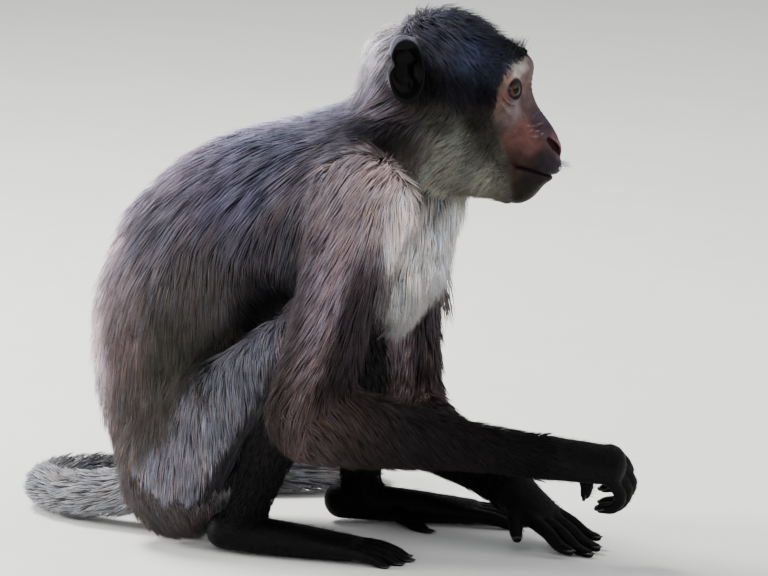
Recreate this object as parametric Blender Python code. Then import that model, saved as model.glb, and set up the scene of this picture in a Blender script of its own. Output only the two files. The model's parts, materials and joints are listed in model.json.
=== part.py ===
"""A seated mangabey, life size, as a still museum model.

The frame is in metres with +Z up. The monkey looks along +X, its left side is +Y, and the origin is
the point of the floor under the middle of its seat. Every solid has the outline of the coat. The body is
made as five fused forms (trunk with neck and tail, head, two arms, two legs) that are then parted with
thin cuts at the joints, so that neighbours meet face to face.
"""

import math

import bmesh
import bpy
from mathutils import Matrix, Vector

MM = 0.001
GAP = 0.35 * MM  # between two solids that meet
FLOOR = 0.0
AXIS_Y = Vector((0, 1, 0))
AXIS_Z = Vector((0, 0, 1))
SIDES = {"right": -1, "left": 1}

# Skeleton: the joints, in millimetres, with the monkey's own left and right.
SHOULDER = {"right": (140, -54, 248), "left": (146, 50, 222)}
ELBOW = {"right": (114, -110, 106), "left": (138, 102, 70)}
WRIST = {"right": (274, -62, 77), "left": (236, 12, 36)}
KNUCKLES = {"right": (318, -55, 72), "left": (259, 0, 22)}
HIP = {"right": (2, -44, 60), "left": (2, 44, 60)}
KNEE = {"right": (112, -60, 164), "left": (106, 64, 158)}
ANKLE = {"right": (58, -62, 25), "left": (116, 58, 25)}
TOE_LINE = {"right": (136, -70, 9), "left": (194, 67, 9)}

# The trunk: middle (x, z), half depth from belly to back, half width.
TRUNK = (
    (2, 20, 26, 42),
    (-1, 49, 36, 54),
    (-4, 84, 52, 62),
    (-2, 122, 63, 67),
    (3, 158, 69, 68),
    (20, 196, 72, 67),
    (50, 221, 71, 66),
    (86, 234, 69, 65),
    (122, 243, 67, 62),
    (146, 254, 63, 55),
    (160, 272, 53, 46),
)
NECK = ((146, 262, 54, 44), (160, 284, 51, 42), (176, 306, 50, 42))
BIB = ((168, 0, 214), (23, 38, 38))  # the loose white fur of the chest
APRON = ((170, 214, 22, 32), (162, 187, 16, 25), (153, 165, 9, 17))  # how it hangs on between the arms
YOKE = ((130, 0, 264), (44, 64, 42))  # the coat that drapes from the neck over the shoulders

# Head: placed by its pivot between the ears, and turned to the monkey's left.
HEAD_PIVOT = (177.8, 0, 310)
HEAD_YAW = math.radians(8)
EYE_PLACE = (53.5, 16.5, 15)
EYE_RADIUS = 10.0
EAR_PLACE = (-11, 33, 35)
EAR_HEIGHT, EAR_WIDTH, EAR_THICKNESS = 45, 25, 3.6

# Limbs: half depth and half width at named places along each bone.
UPPER_ARM_GIRTH = ((38, 28), (33, 25), (29, 23), (30, 23), (31, 24))
FOREARM_GIRTH = ((31, 24), (28, 22), (22, 19), (17, 16), (15, 17))
THIGH_GIRTH = ((40, 30), (43, 31), (38, 29), (31, 26), (26, 23))
SHANK_GIRTH = ((26, 23), (27, 23), (24, 21), (17, 16), (14, 14))

HAND = {
    "palm": ((15, 17), (12, 19), (9.5, 19)),
    "spacing": 9.4,
    "lengths": (44, 50, 47, 39),
    "radius": 5.6,
    "thumb": 30,
}
FOOT = {
    "palm": ((14, 14), (12.5, 17), (9, 19)),
    "spacing": 9.2,
    "lengths": (38, 42, 40, 35),
    "radius": 5.6,
    "thumb": 38,
}

# The tail lies on the floor: it leaves the seat backwards, swings to the left and curls up there.
TAIL_PATH = (
    (-14, 2, 38), (-48, 10, 25), (-88, 26, 18), (-118, 60, 16.5), (-106, 100, 16), (-62, 122, 15.5),
    (-8, 134, 15), (46, 144, 14.5), (88, 168, 13.5), (84, 206, 12.5), (42, 222, 11), (-4, 216, 8),
)
TAIL_GIRTH = (20, 19, 18, 17.5, 17, 16.5, 16, 15.5, 14.5, 13.5, 12, 8.5)
TAIL_STEPS = 3
TAIL_LENGTHS = {"tail_base": (1, 4), "tail_middle": (4, 6), "tail_end": (6, 8), "tail_tip": (8, 11)}

VOXEL = {"body": 4.5 * MM, "limb": 3.6 * MM, "head": 2.2 * MM, "extremity": 1.7 * MM}
TRIANGLES = {"body": 1500, "head": 1450, "arm": 330, "leg": 320, "hand": 380, "foot": 320}

COLOURS = {
    "grey_coat": ((0.075, 0.062, 0.066), 0.75),
    "brown_coat": ((0.060, 0.042, 0.038), 0.75),
    "dark_coat": ((0.022, 0.019, 0.022), 0.70),
    "face_skin": ((0.22, 0.095, 0.070), 0.50),
    "dark_skin": ((0.020, 0.015, 0.015), 0.50),
    "eye": ((0.10, 0.045, 0.018), 0.08),
}


# ---------------------------------------------------------------- shapes

def mm(point):
    return Vector(point) * MM


def new_object(name, bm):
    """An object that holds bm, outward facing, at the origin."""
    bmesh.ops.recalc_face_normals(bm, faces=bm.faces)
    mesh = bpy.data.meshes.new(name)
    bm.to_mesh(mesh)
    bm.free()
    obj = bpy.data.objects.new(name, mesh)
    bpy.context.scene.collection.objects.link(obj)
    return obj


def spline(values, steps):
    """Points of a Catmull-Rom curve through rows of numbers, steps to a span."""
    rows = [Vector(v) for v in values]
    ends = [2 * rows[0] - rows[1], *rows, 2 * rows[-1] - rows[-2]]
    found = []
    for a, b, c, d in zip(ends, ends[1:], ends[2:], ends[3:]):
        for step in range(steps):
            t = step / steps
            found.append(
                0.5 * (2 * b + (c - a) * t + (2 * a - 5 * b + 4 * c - d) * t**2
                       + (3 * b - a - 3 * c + d) * t**3)
            )
    return [*found, rows[-1]]


def tube(name, path, girths, across=AXIS_Y, steps=4, corners=20, rounded=(True, True)):
    """A closed tube of (half depth, half width) girths along a smooth path; widths lie along across."""
    rows, sizes = spline([(*p,) for p in path], steps), spline([(*g, 0) for g in girths], steps)
    return loft(name, rows, headings(rows), sizes, across, corners, rounded)


def headings(rows):
    """The way the path runs at each row."""
    after, before = [*rows[1:], rows[-1]], [rows[0], *rows[:-1]]
    return [(b - a).normalized() for a, b in zip(before, after)]


def loft(name, rows, tangents, sizes, across, corners, rounded, cap_steps=4):
    """The closed tube through the rows. An end that isn't rounded is flat and stops half a gap short."""
    stations = list(zip(rows, tangents, sizes))

    def cap(station, outward):
        """Stations of the round end, from the tube outwards."""
        centre, tangent, size = station
        for k in range(1, cap_steps):
            angle = k / cap_steps * math.pi / 2
            reach = outward * min(size.x, size.y) * math.sin(angle)
            yield centre + tangent * reach, tangent, size * math.cos(angle)

    if rounded[0]:
        stations = [*reversed(list(cap(stations[0], -1))), *stations]
    else:
        stations[0] = (rows[0] + tangents[0] * GAP / 2, tangents[0], sizes[0])
    if rounded[1]:
        stations += cap(stations[-1], 1)
    else:
        stations[-1] = (rows[-1] - tangents[-1] * GAP / 2, tangents[-1], sizes[-1])

    bm = bmesh.new()
    rings = []
    turn = 2 * math.pi / corners
    for centre, tangent, size in stations:
        side = (across - across.dot(tangent) * tangent).normalized()
        up = tangent.cross(side)
        rings.append([
            bm.verts.new(centre + side * (size.y * math.cos(k * turn)) + up * (size.x * math.sin(k * turn)))
            for k in range(corners)
        ])
    for low, high in zip(rings, rings[1:]):
        for k in range(corners):
            after = (k + 1) % corners
            bm.faces.new((low[k], low[after], high[after], high[k]))
    bm.faces.new(list(reversed(rings[0])))
    bm.faces.new(rings[-1])
    return new_object(name, bm)


def ellipsoid(name, centre, radii, pitch=0.0):
    """An ellipsoid in millimetres, pitched nose down by an angle in degrees."""
    bm = bmesh.new()
    bmesh.ops.create_icosphere(bm, subdivisions=4, radius=1)
    turn = Matrix.Rotation(math.radians(pitch), 4, "Y")
    bm.transform(Matrix.Translation(mm(centre)) @ turn @ Matrix.Diagonal((*mm(radii), 1)))
    return new_object(name, bm)


def baked(obj):
    """Applies what the object's modifiers make of it."""
    graph = bpy.context.evaluated_depsgraph_get()
    mesh = bpy.data.meshes.new_from_object(obj.evaluated_get(graph))
    obj.modifiers.clear()
    obj.data = mesh
    return obj


def discard(*objects):
    for obj in objects:
        bpy.data.objects.remove(obj)


def duplicate(obj, name):
    made = bpy.data.objects.new(name, obj.data.copy())
    bpy.context.scene.collection.objects.link(made)
    return made


def fuse(name, shapes, voxel, smoothing, triangles):
    """One closed skin round all the shapes, smoothed and reduced to about so many triangles."""
    bm = bmesh.new()
    for shape in shapes:
        bm.from_mesh(shape.data)
    obj = new_object(name, bm)
    remesh = obj.modifiers.new("fused", "REMESH")
    remesh.mode = "VOXEL"
    remesh.voxel_size = voxel
    smooth = obj.modifiers.new("softened", "SMOOTH")
    smooth.factor = 0.5
    smooth.iterations = smoothing
    baked(obj)
    decimate = obj.modifiers.new("reduced", "DECIMATE")
    decimate.ratio = min(1.0, triangles / (2 * len(obj.data.polygons)))
    return baked(obj)


# ---------------------------------------------------------------- parting

def fill_cut(bm, cut_edges):
    """Closes the hole that a plane left, with flat faces."""
    bmesh.ops.holes_fill(bm, edges=cut_edges, sides=0)
    bmesh.ops.triangulate(bm, faces=[f for f in bm.faces if len(f.verts) > 4])


def side_of(obj, name, point, normal, offset):
    """A copy of what lies beyond the plane, on the normal's side."""
    bm = bmesh.new()
    bm.from_mesh(obj.data)
    found = bmesh.ops.bisect_plane(
        bm, geom=[*bm.verts, *bm.edges, *bm.faces], dist=1e-7,
        plane_co=point + normal * offset, plane_no=normal, clear_inner=True,
    )
    fill_cut(bm, [e for e in found["geom_cut"] if isinstance(e, bmesh.types.BMEdge)])
    return new_object(name, bm)


def part(obj, point, normal, near_name, far_name):
    """Cuts the object in two at a plane, with a thin gap, and returns (before, beyond)."""
    normal = Vector(normal).normalized()
    obj.name = "whole"
    near = side_of(obj, near_name, point, -normal, GAP / 2)
    far = side_of(obj, far_name, point, normal, GAP / 2)
    discard(obj)
    return near, far


def joint_plane(before, joint, after):
    """(point, normal) of the plane that halves the bend at a joint."""
    inward = (mm(before) - mm(joint)).normalized()
    outward = (mm(after) - mm(joint)).normalized()
    return mm(joint), (outward - inward).normalized()


def main_island(obj):
    """Keeps the largest connected piece, and drops crumbs that a cut may leave."""
    bm = bmesh.new()
    bm.from_mesh(obj.data)
    left, islands = set(bm.verts), []
    while left:
        island, front = set(), [left.pop()]
        while front:
            vert = front.pop()
            island.add(vert)
            near = [e.other_vert(vert) for e in vert.link_edges]
            fresh = [v for v in near if v in left]
            left.difference_update(fresh)
            front.extend(fresh)
        islands.append(island)
    keep = max(islands, key=len)
    bmesh.ops.delete(bm, geom=[v for v in bm.verts if v not in keep], context="VERTS")
    bm.to_mesh(obj.data)
    bm.free()
    return obj


def carve(obj, *others):
    """Cuts the others, grown by the gap, out of the object."""
    for other in others:
        cutter = duplicate(other, "cutter")
        cutter.hide_render = True
        cutter.display_type = "WIRE"
        grow = cutter.modifiers.new("gap", "DISPLACE")
        grow.mid_level = 0
        grow.strength = GAP
        cut = obj.modifiers.new("room", "BOOLEAN")
        cut.operation = "DIFFERENCE"
        cut.solver = "EXACT"
        cut.object = cutter
        baked(obj)
        discard(cutter)
    return main_island(obj)


def rest_on_floor(obj):
    """Flattens what reaches below the floor, so that it stands on a small flat."""
    flat = side_of(obj, obj.name + "_flat", Vector((0, 0, FLOOR)), AXIS_Z, 0)
    obj.data = flat.data
    discard(flat)
    return obj


# ---------------------------------------------------------------- the monkey

def trunk_shapes():
    """Trunk, neck, bib, shoulders, hips and tail, still loose."""
    def spine(name, rows):
        path = [mm((x, 0, z)) for x, z, _, _ in rows]
        return tube(name, path, [(d * MM, w * MM) for _, _, d, w in rows])

    shapes = [spine("trunk", TRUNK), spine("nape", NECK), ellipsoid("bib", *BIB)]
    shapes += [spine("apron", APRON), ellipsoid("yoke", *YOKE)]
    for side, sign in SIDES.items():
        shapes.append(ellipsoid("shoulder", SHOULDER[side], (39, 29, 41)))
        shapes.append(ellipsoid("haunch", (HIP[side][0] + 3, sign * 38, 54), (43, 33, 50)))
    root = [mm(p) for p in TAIL_PATH[:2]]
    shapes.append(tube("tail_root", root, [(g * MM + 1.5 * MM,) * 2 for g in TAIL_GIRTH[:2]], across=AXIS_Z))
    return shapes


def tail_lengths():
    """The tail's lengths, each a flat-ended tube, but for the tip, which is round."""
    rows = spline([mm(p) for p in TAIL_PATH], TAIL_STEPS)
    sizes = spline([mm((g, g, 0)) for g in TAIL_GIRTH], TAIL_STEPS)
    ways, made = headings(rows), []
    for name, (start, end) in TAIL_LENGTHS.items():
        span = slice(start * TAIL_STEPS, end * TAIL_STEPS + 1)
        rounded = (False, end == len(TAIL_PATH) - 1)
        made.append(loft(name, rows[span], ways[span], sizes[span], AXIS_Z, 10, rounded, cap_steps=3))
    return made


def head_place():
    return Matrix.Translation(mm(HEAD_PIVOT)) @ Matrix.Rotation(HEAD_YAW, 4, "Z")


def head_shapes():
    """The coat and the bare face, in the head's own frame: x forward, z up, from the pivot."""
    shapes = [
        ellipsoid("cranium", (1, 0, 17), (50, 43, 45)),
        ellipsoid("crest", (13, 0, 38), (46, 30, 32), pitch=28),
        ellipsoid("occiput", (-24, 0, 24), (26, 32, 40)),
        ellipsoid("forehead", (38, 0, 28), (26, 31, 21)),
        ellipsoid("face", (36, 0, 12), (24, 31, 30)),
        ellipsoid("cheeks", (17, 0, -26), (42, 44, 37)),
        ellipsoid("maxilla", (60, 0, -23), (28, 20.5, 22), pitch=22),
        ellipsoid("nose_tip", (84, 0, -31), (7, 9, 7)),
        ellipsoid("upper_lip", (77, 0, -41), (14.5, 17, 8)),
        ellipsoid("chin", (63, 0, -55), (17.5, 14.5, 12)),
    ]
    ridge = [mm(p) for p in ((47, -29, 19), (57, -18, 29), (60, 0, 31), (57, 18, 29), (47, 29, 19))]
    girths = [(g * MM, g * MM) for g in (6, 8, 8, 8, 6)]
    shapes.append(tube("brow", ridge, girths, across=AXIS_Z, corners=12))
    bridge = [mm(p) for p in ((61, 0, 26), (63, 0, 8), (72, 0, -11), (82, 0, -26))]
    girths = [(d * MM, w * MM) for d, w in ((8, 9), (7, 7), (7, 9), (7, 9))]
    shapes.append(tube("nose_bridge", bridge, girths))
    for sign in SIDES.values():
        jaw = [mm((x, sign * y, z)) for x, y, z in ((4, 30, -32), (34, 22, -46), (64, 8, -55))]
        shapes.append(tube("jaw", jaw, [(20 * MM, 15 * MM), (15 * MM, 14 * MM), (11 * MM, 9 * MM)]))
        shapes.append(ellipsoid("cheekbone", (42, sign * 22, -5), (18, 12, 13)))
    place = head_place()
    for shape in shapes:
        shape.data.transform(place)
    return shapes


def eye(side, sign):
    bm = bmesh.new()
    bmesh.ops.create_uvsphere(bm, u_segments=12, v_segments=8, radius=EYE_RADIUS * MM)
    x, y, z = EYE_PLACE
    bm.transform(head_place() @ Matrix.Translation(mm((x, sign * y, z))))
    return new_object(f"eye_{side}", bm)


def ear(side, sign):
    """A cupped shell: a disc with a rolled rim, hinged out from the head."""
    rings, corners = (0.0, 0.5, 0.86, 1.0), 14
    bm = bmesh.new()

    def rim(angle):
        """Half height and half width swell towards the upper back, where the ear has its blunt point."""
        point = 1 + 0.10 * math.exp(-((angle - math.radians(118)) / 0.45) ** 2)
        return math.cos(angle) * EAR_WIDTH / 2 * point, math.sin(angle) * EAR_HEIGHT / 2 * point

    def skin(offset):
        layers = []
        for share in rings:
            cup = 6.5 * (share**2) + (2.2 if share == 1.0 else 0.0)
            count = 1 if share == 0 else corners
            layers.append([
                bm.verts.new((rim(k * 2 * math.pi / corners)[0] * share, cup + offset,
                              rim(k * 2 * math.pi / corners)[1] * share))
                for k in range(count)
            ])
        return layers

    outer, inner = skin(0.0), skin(-EAR_THICKNESS)
    for layers in (outer, inner):
        for k in range(corners):
            after = (k + 1) % corners
            bm.faces.new((layers[0][0], layers[1][k], layers[1][after]))
            for low, high in zip(layers[1:], layers[2:]):
                bm.faces.new((low[k], high[k], high[after], low[after]))
    for k in range(corners):
        after = (k + 1) % corners
        bm.faces.new((outer[-1][k], inner[-1][k], inner[-1][after], outer[-1][after]))
    x, y, z = EAR_PLACE
    bm.transform(
        head_place()
        @ Matrix.Translation(mm((x, sign * y, z)))
        @ Matrix.Rotation(math.radians(-sign * 26), 4, "Z")
        @ Matrix.Rotation(math.radians(-sign * 8), 4, "X")
        @ Matrix.Rotation(math.radians(-10), 4, "Y")
        @ Matrix.Translation(mm((-EAR_WIDTH * 0.36, sign * 2.0, 0)))
        @ Matrix.Diagonal((MM, sign * MM, MM, 1))
    )
    return new_object(f"ear_{side}", bm)


def digit(root, forward, palm, length, radius, bends):
    """A finger or toe of three bones that bend towards the palm by angles in degrees."""
    axis = forward.cross(palm).normalized()
    path, heading = [root - forward * radius, root], forward.copy()
    for share, bend in zip((0.42, 0.33, 0.25), bends):
        heading = Matrix.Rotation(math.radians(bend), 3, axis) @ heading
        path.append(path[-1] + heading * (length * share))
    girths = [(radius * f, radius * f) for f in (1.0, 1.04, 0.92, 0.84, 0.66)]
    return tube("digit", path, girths, across=axis, steps=3, corners=12)


def extremity(kind, wrist, knuckles, thumb_side, palm, bends, thumb_lie=(0.75, 0.62, 0.2), heel=0.0):
    """A hand or a foot: palm, four digits and the thumb, which lies forward, to thumb_side and to the palm."""
    wrist, knuckles = mm(wrist), mm(knuckles)
    forward = (knuckles - wrist).normalized()
    palm = (palm - palm.dot(forward) * forward).normalized()
    inward = (thumb_side - thumb_side.dot(forward) * forward - thumb_side.dot(palm) * palm).normalized()
    start = wrist - forward * heel * MM
    girths = [(d * MM, w * MM) for d, w in kind["palm"]]
    shapes = [tube("palm", [start, (start + knuckles) / 2, knuckles], girths, across=inward, corners=16)]
    radius = kind["radius"] * MM
    for k, length in enumerate(kind["lengths"]):
        off = (1.5 - k) * kind["spacing"] * MM
        spread = math.radians(5) * (1.5 - k)
        heading = (forward * math.cos(spread) + inward * math.sin(spread)).normalized()
        back = abs(k - 1) * 1.5 * MM
        root = knuckles + inward * off - forward * back
        shapes.append(digit(root, heading, palm, length * MM, radius * (1.0 if k < 3 else 0.9), bends))
    ahead, aside, under = thumb_lie
    root = start + (knuckles - start) * 0.42 + (inward * 21 * aside + palm * 15 * under) * MM
    heading = (forward * ahead + inward * aside + palm * under).normalized()
    thumb = digit(root, heading, palm, kind["thumb"] * MM, radius * 1.05, [b * 0.35 for b in bends])
    return [*shapes, thumb]


def limb_tubes(name, joints, girth_sets, across=AXIS_Y):
    """A chain of tapered bones with their flesh."""
    shapes = []
    for (start, end), girths in zip(zip(joints, joints[1:]), girth_sets):
        count = len(girths) - 1
        path = [mm(start).lerp(mm(end), k / count) for k in range(count + 1)]
        shapes.append(tube(name, path, [(d * MM, w * MM) for d, w in girths], across=across))
    return shapes


def arm(side, sign):
    """(coarse arm, fine hand) fused from the same shapes and cut at the wrist."""
    joints = (SHOULDER[side], ELBOW[side], WRIST[side])
    shapes = limb_tubes("arm", joints, (UPPER_ARM_GIRTH, FOREARM_GIRTH))
    if side == "right":
        palm, thumb_side = Vector((-0.1, 0.45, -0.88)), Vector((0, 0.88, 0.45))
        bends, thumb_lie = (52, 54, 54), (0.78, 0.3, 0.62)
    else:
        palm, thumb_side = Vector((0, 0, -1)), Vector((0, -1, 0))
        bends, thumb_lie = (-6, 10, -20), (0.75, 0.62, 0.2)
    hand = extremity(HAND, WRIST[side], KNUCKLES[side], thumb_side, palm, bends, thumb_lie)
    cut = mm(WRIST[side]), (mm(KNUCKLES[side]) - mm(ELBOW[side])).normalized()
    return limb(f"hand_{side}", f"arm_{side}", shapes, hand, cut, "hand", "arm")


def leg(side, sign):
    """(coarse leg, fine foot), cut at the ankle."""
    joints = (HIP[side], KNEE[side], ANKLE[side])
    shapes = limb_tubes("leg", joints, (THIGH_GIRTH, SHANK_GIRTH))
    x, y, z = ANKLE[side]
    sole_start = (x - 6, y, 15)
    inward, down = Vector((0, -sign, 0)), Vector((0, 0, -1))
    foot = extremity(FOOT, sole_start, TOE_LINE[side], inward, down, (0, 12, 10), heel=8)
    cut = mm((x, y, z + 8)), Vector((-0.25, 0, -1)).normalized()
    return limb(f"foot_{side}", f"leg_{side}", shapes, foot, cut, "foot", "leg")


def limb(end_name, limb_name, shapes, end_shapes, cut, end_kind, limb_kind):
    """Fuses the shapes twice, coarse for the limb and fine for its end, and keeps each on its side of the cut."""
    every = [*shapes, *end_shapes]
    coarse = fuse(limb_name, every, VOXEL["limb"], 4, TRIANGLES[limb_kind] * 2)
    fine = fuse(end_name, every, VOXEL["extremity"], 2, 9000)
    discard(*every)
    point, normal = cut
    near, beyond = part(coarse, point, normal, limb_name, "spare_end")
    spare, end = part(fine, point, normal, "spare_limb", end_name)
    discard(beyond, spare)
    end = main_island(end)
    reduce = end.modifiers.new("reduced", "DECIMATE")
    reduce.ratio = min(1.0, TRIANGLES[end_kind] / triangle_count(end))
    baked(end)
    return main_island(near), end


def triangle_count(obj):
    return sum(len(p.vertices) - 2 for p in obj.data.polygons)


def finish(obj, colour):
    """Shading and the plain finish of the solid."""
    shade, roughness = COLOURS[colour]
    material = bpy.data.materials.get(colour) or bpy.data.materials.new(colour)
    material.use_nodes = True
    surface = material.node_tree.nodes["Principled BSDF"]
    surface.inputs["Base Color"].default_value = (*shade, 1)
    surface.inputs["Roughness"].default_value = roughness
    surface.inputs["Metallic"].default_value = 0.0
    obj.data.materials.clear()
    obj.data.materials.append(material)
    obj.data.shade_smooth()
    obj.data.set_sharp_from_angle(angle=math.radians(60))


def main():
    for obj in list(bpy.data.objects):
        bpy.data.objects.remove(obj)

    torso, heads = trunk_shapes(), head_shapes()
    body = fuse("body", [*torso, *heads], VOXEL["body"], 5, TRIANGLES["body"])
    head = fuse("head", [*torso[:2], *heads], VOXEL["head"], 5, TRIANGLES["head"])
    discard(*torso, *heads)
    eyes = {side: eye(side, sign) for side, sign in SIDES.items()}
    ears = {side: ear(side, sign) for side, sign in SIDES.items()}

    neck_top = mm((161, 0, 284)), Vector((0.774, 0, 0.633))
    body, spare = part(body, *neck_top, "body", "spare_head")
    spare_body, head = part(head, *neck_top, "spare_body", "head")
    discard(spare, spare_body)
    body, head = main_island(body), main_island(head)

    carve(head, *eyes.values())
    for shape in ears.values():
        carve(shape, head)

    limbs = {}
    for side, sign in SIDES.items():
        limbs[f"leg_{side}"], limbs[f"foot_{side}"] = leg(side, sign)
        limbs[f"arm_{side}"], limbs[f"hand_{side}"] = arm(side, sign)
    for side in SIDES:
        carve(limbs[f"leg_{side}"], body)
        carve(limbs[f"foot_{side}"], body)
        carve(limbs[f"arm_{side}"], body, head, limbs[f"leg_{side}"])

    body, neck = part(body, mm((142, 0, 263)), (0.657, 0, 0.754), "body", "neck")
    body, chest = part(body, mm((56, 0, 219)), (0.697, 0, 0.717), "body", "chest")
    rump, belly = part(body, mm((-3, 0, 128)), (0.334, 0, 0.943), "rump", "belly")
    tails = tail_lengths()
    carve(tails[0], rump)
    for piece in (rump, *tails):
        rest_on_floor(piece)

    mouth = head_place() @ mm((60, 0, -44))
    head, lower_jaw = part(head, mouth, head_place().to_3x3() @ Vector((0.2, 0, -0.98)), "head", "lower_jaw")
    face_cut = head_place() @ mm((52, 0, -6))
    head, muzzle = part(head, face_cut, head_place().to_3x3() @ Vector((0.72, 0, -0.69)), "head", "muzzle")

    for side in SIDES:
        upper, fore = part(
            limbs[f"arm_{side}"], *joint_plane(SHOULDER[side], ELBOW[side], WRIST[side]),
            f"upper_arm_{side}", f"forearm_{side}",
        )
        thigh, shank = part(
            limbs[f"leg_{side}"], *joint_plane(HIP[side], KNEE[side], ANKLE[side]),
            f"thigh_{side}", f"shank_{side}",
        )
        rest_on_floor(thigh)
        rest_on_floor(limbs[f"foot_{side}"])
        rest_on_floor(limbs[f"hand_{side}"])
        finish(upper, "grey_coat")
        finish(fore, "brown_coat")
        finish(thigh, "grey_coat")
        finish(shank, "grey_coat")
        finish(limbs[f"hand_{side}"], "dark_coat")
        finish(limbs[f"foot_{side}"], "dark_coat")
        finish(ears[side], "dark_skin")
        finish(eyes[side], "eye")
    for obj, colour in (
        (neck, "grey_coat"), (chest, "grey_coat"), (belly, "grey_coat"), (rump, "brown_coat"),
        (head, "dark_coat"), (muzzle, "face_skin"), (lower_jaw, "face_skin"),
        *((piece, "grey_coat") for piece in tails),
    ):
        finish(obj, colour)
    for obj in bpy.data.objects:
        main_island(obj)
        print(obj.name, triangle_count(obj))


main()
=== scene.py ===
"""The looks of the seated mangabey: one skin with a finished head, hands and feet, its eyes, nails and
whiskers, and a coat of solid tufts that lie as the hair of the animal does."""

import json
import math

import bmesh
import bpy
import numpy as np
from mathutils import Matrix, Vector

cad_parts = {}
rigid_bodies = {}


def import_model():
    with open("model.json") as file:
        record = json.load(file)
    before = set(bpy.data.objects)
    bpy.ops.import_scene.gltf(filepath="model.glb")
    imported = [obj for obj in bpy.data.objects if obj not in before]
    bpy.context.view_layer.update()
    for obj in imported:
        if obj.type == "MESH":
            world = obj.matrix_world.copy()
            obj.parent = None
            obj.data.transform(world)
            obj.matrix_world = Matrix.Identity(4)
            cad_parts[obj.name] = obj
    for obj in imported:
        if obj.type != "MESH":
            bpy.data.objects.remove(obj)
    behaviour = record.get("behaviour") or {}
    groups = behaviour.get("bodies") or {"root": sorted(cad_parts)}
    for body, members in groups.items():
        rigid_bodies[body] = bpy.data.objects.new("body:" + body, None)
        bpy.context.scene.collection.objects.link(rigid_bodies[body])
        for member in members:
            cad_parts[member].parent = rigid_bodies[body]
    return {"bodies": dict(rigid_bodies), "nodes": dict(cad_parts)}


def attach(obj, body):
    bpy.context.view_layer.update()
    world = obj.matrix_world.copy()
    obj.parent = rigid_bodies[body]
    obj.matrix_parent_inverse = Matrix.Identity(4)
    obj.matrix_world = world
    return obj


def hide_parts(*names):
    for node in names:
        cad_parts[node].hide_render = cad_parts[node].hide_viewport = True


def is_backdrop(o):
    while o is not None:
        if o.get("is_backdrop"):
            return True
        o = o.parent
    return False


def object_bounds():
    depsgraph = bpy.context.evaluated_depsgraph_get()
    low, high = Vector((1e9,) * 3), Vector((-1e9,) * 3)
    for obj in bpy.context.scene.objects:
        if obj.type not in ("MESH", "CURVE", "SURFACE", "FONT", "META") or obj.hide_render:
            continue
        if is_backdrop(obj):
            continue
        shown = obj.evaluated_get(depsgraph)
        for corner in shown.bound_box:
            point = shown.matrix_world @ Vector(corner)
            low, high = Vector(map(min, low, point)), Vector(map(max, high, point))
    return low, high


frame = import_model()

import openvdb
from mathutils import Matrix, Vector
from mathutils.kdtree import KDTree

for stray in set(bpy.data.objects) - {*frame["bodies"].values(), *frame["nodes"].values()}:
    bpy.data.objects.remove(stray)
CAD_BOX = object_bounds()
MM = 0.001
SIDES = {"right": -1, "left": 1}
EYES = ("eye_right", "eye_left")
FLOOR_CLEARANCE = 0.3

# ---- the animal's build, in millimetres
# Joints, girths and head are those of the solids. Girths are (half depth, half width).

SHOULDER = {"right": (140, -54, 248), "left": (146, 50, 222)}
ELBOW = {"right": (114, -110, 106), "left": (138, 102, 70)}
WRIST = {"right": (274, -62, 77), "left": (236, 12, 36)}
KNUCKLES = {"right": (318, -55, 72), "left": (259, 0, 22)}
HIP = {"right": (2, -44, 60), "left": (2, 44, 60)}
KNEE = {"right": (112, -60, 164), "left": (106, 64, 158)}
ANKLE = {"right": (58, -62, 25), "left": (116, 58, 25)}
TOE_LINE = {"right": (136, -70, 9), "left": (194, 67, 9)}

TRUNK = (
    (2, 20, 26, 42),
    (-1, 49, 36, 54),
    (-4, 84, 52, 62),
    (-2, 122, 63, 67),
    (3, 158, 69, 68),
    (20, 196, 72, 67),
    (50, 221, 71, 66),
    (86, 234, 69, 65),
    (122, 243, 67, 62),
    (146, 254, 63, 55),
    (160, 272, 53, 46),
)
NECK = ((146, 262, 54, 44), (160, 284, 51, 42), (176, 306, 50, 42))
BIB = ((168, 0, 214), (23, 38, 38))
APRON = ((170, 214, 22, 32), (162, 189, 15, 24), (154, 170, 8, 15))
YOKE = ((130, 0, 264), (44, 64, 42))
HAUNCH = ((5, 38, 54), (43, 33, 50))
SHOULDER_SIZE = (39, 29, 41)
NECK_CUT = np.array((161.0, 0.0, 284.0))
NECK_WAY = np.array((0.774, 0.0, 0.633))

UPPER_ARM_GIRTH = ((38, 28), (33, 25), (29, 23), (30, 23), (31, 24))
FOREARM_GIRTH = ((31, 24), (28, 22), (22, 19), (17, 16), (15, 17))
THIGH_GIRTH = ((40, 30), (43, 31), (38, 29), (31, 26), (26, 23))
SHANK_GIRTH = ((26, 23), (27, 23), (24, 21), (17, 16), (14, 14))

HAND = {"palm": ((15, 17), (12, 19), (9.5, 19)), "spacing": 9.4, "lengths": (44, 50, 47, 39), "thumb": 30}
FOOT = {"palm": ((14, 14), (12.5, 17), (9, 19)), "spacing": 9.2, "lengths": (38, 42, 40, 35), "thumb": 38}
HAND_POSE = {
    "right": {
        "palm": (-0.1, 0.45, -0.88), "thumb_side": (0, 0.88, 0.45), "bends": (52, 54, 54),
        "thumb_lie": (0.78, 0.3, 0.62),
    },
    "left": {
        "palm": (0, 0, -1), "thumb_side": (0, -1, 0), "bends": (-6, 10, -20), "thumb_lie": (0.75, 0.62, 0.2),
    },
}
FOOT_POSE = {
    side: {
        "palm": (0, 0, -1), "thumb_side": (0, -sign, 0), "bends": (0, 12, 10), "thumb_lie": (0.75, 0.62, 0.2),
    }
    for side, sign in SIDES.items()
}
HEEL = 8  # how far the heel reaches behind the ankle
SOLE_HEIGHT = 15  # of the middle of the foot over the floor
DIGIT_RADIUS = 5.0
DIGIT_SPREAD = math.radians(5)  # between neighbouring digits
MIDDLE_DIGIT = 1.5  # the middle of the row of four
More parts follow.
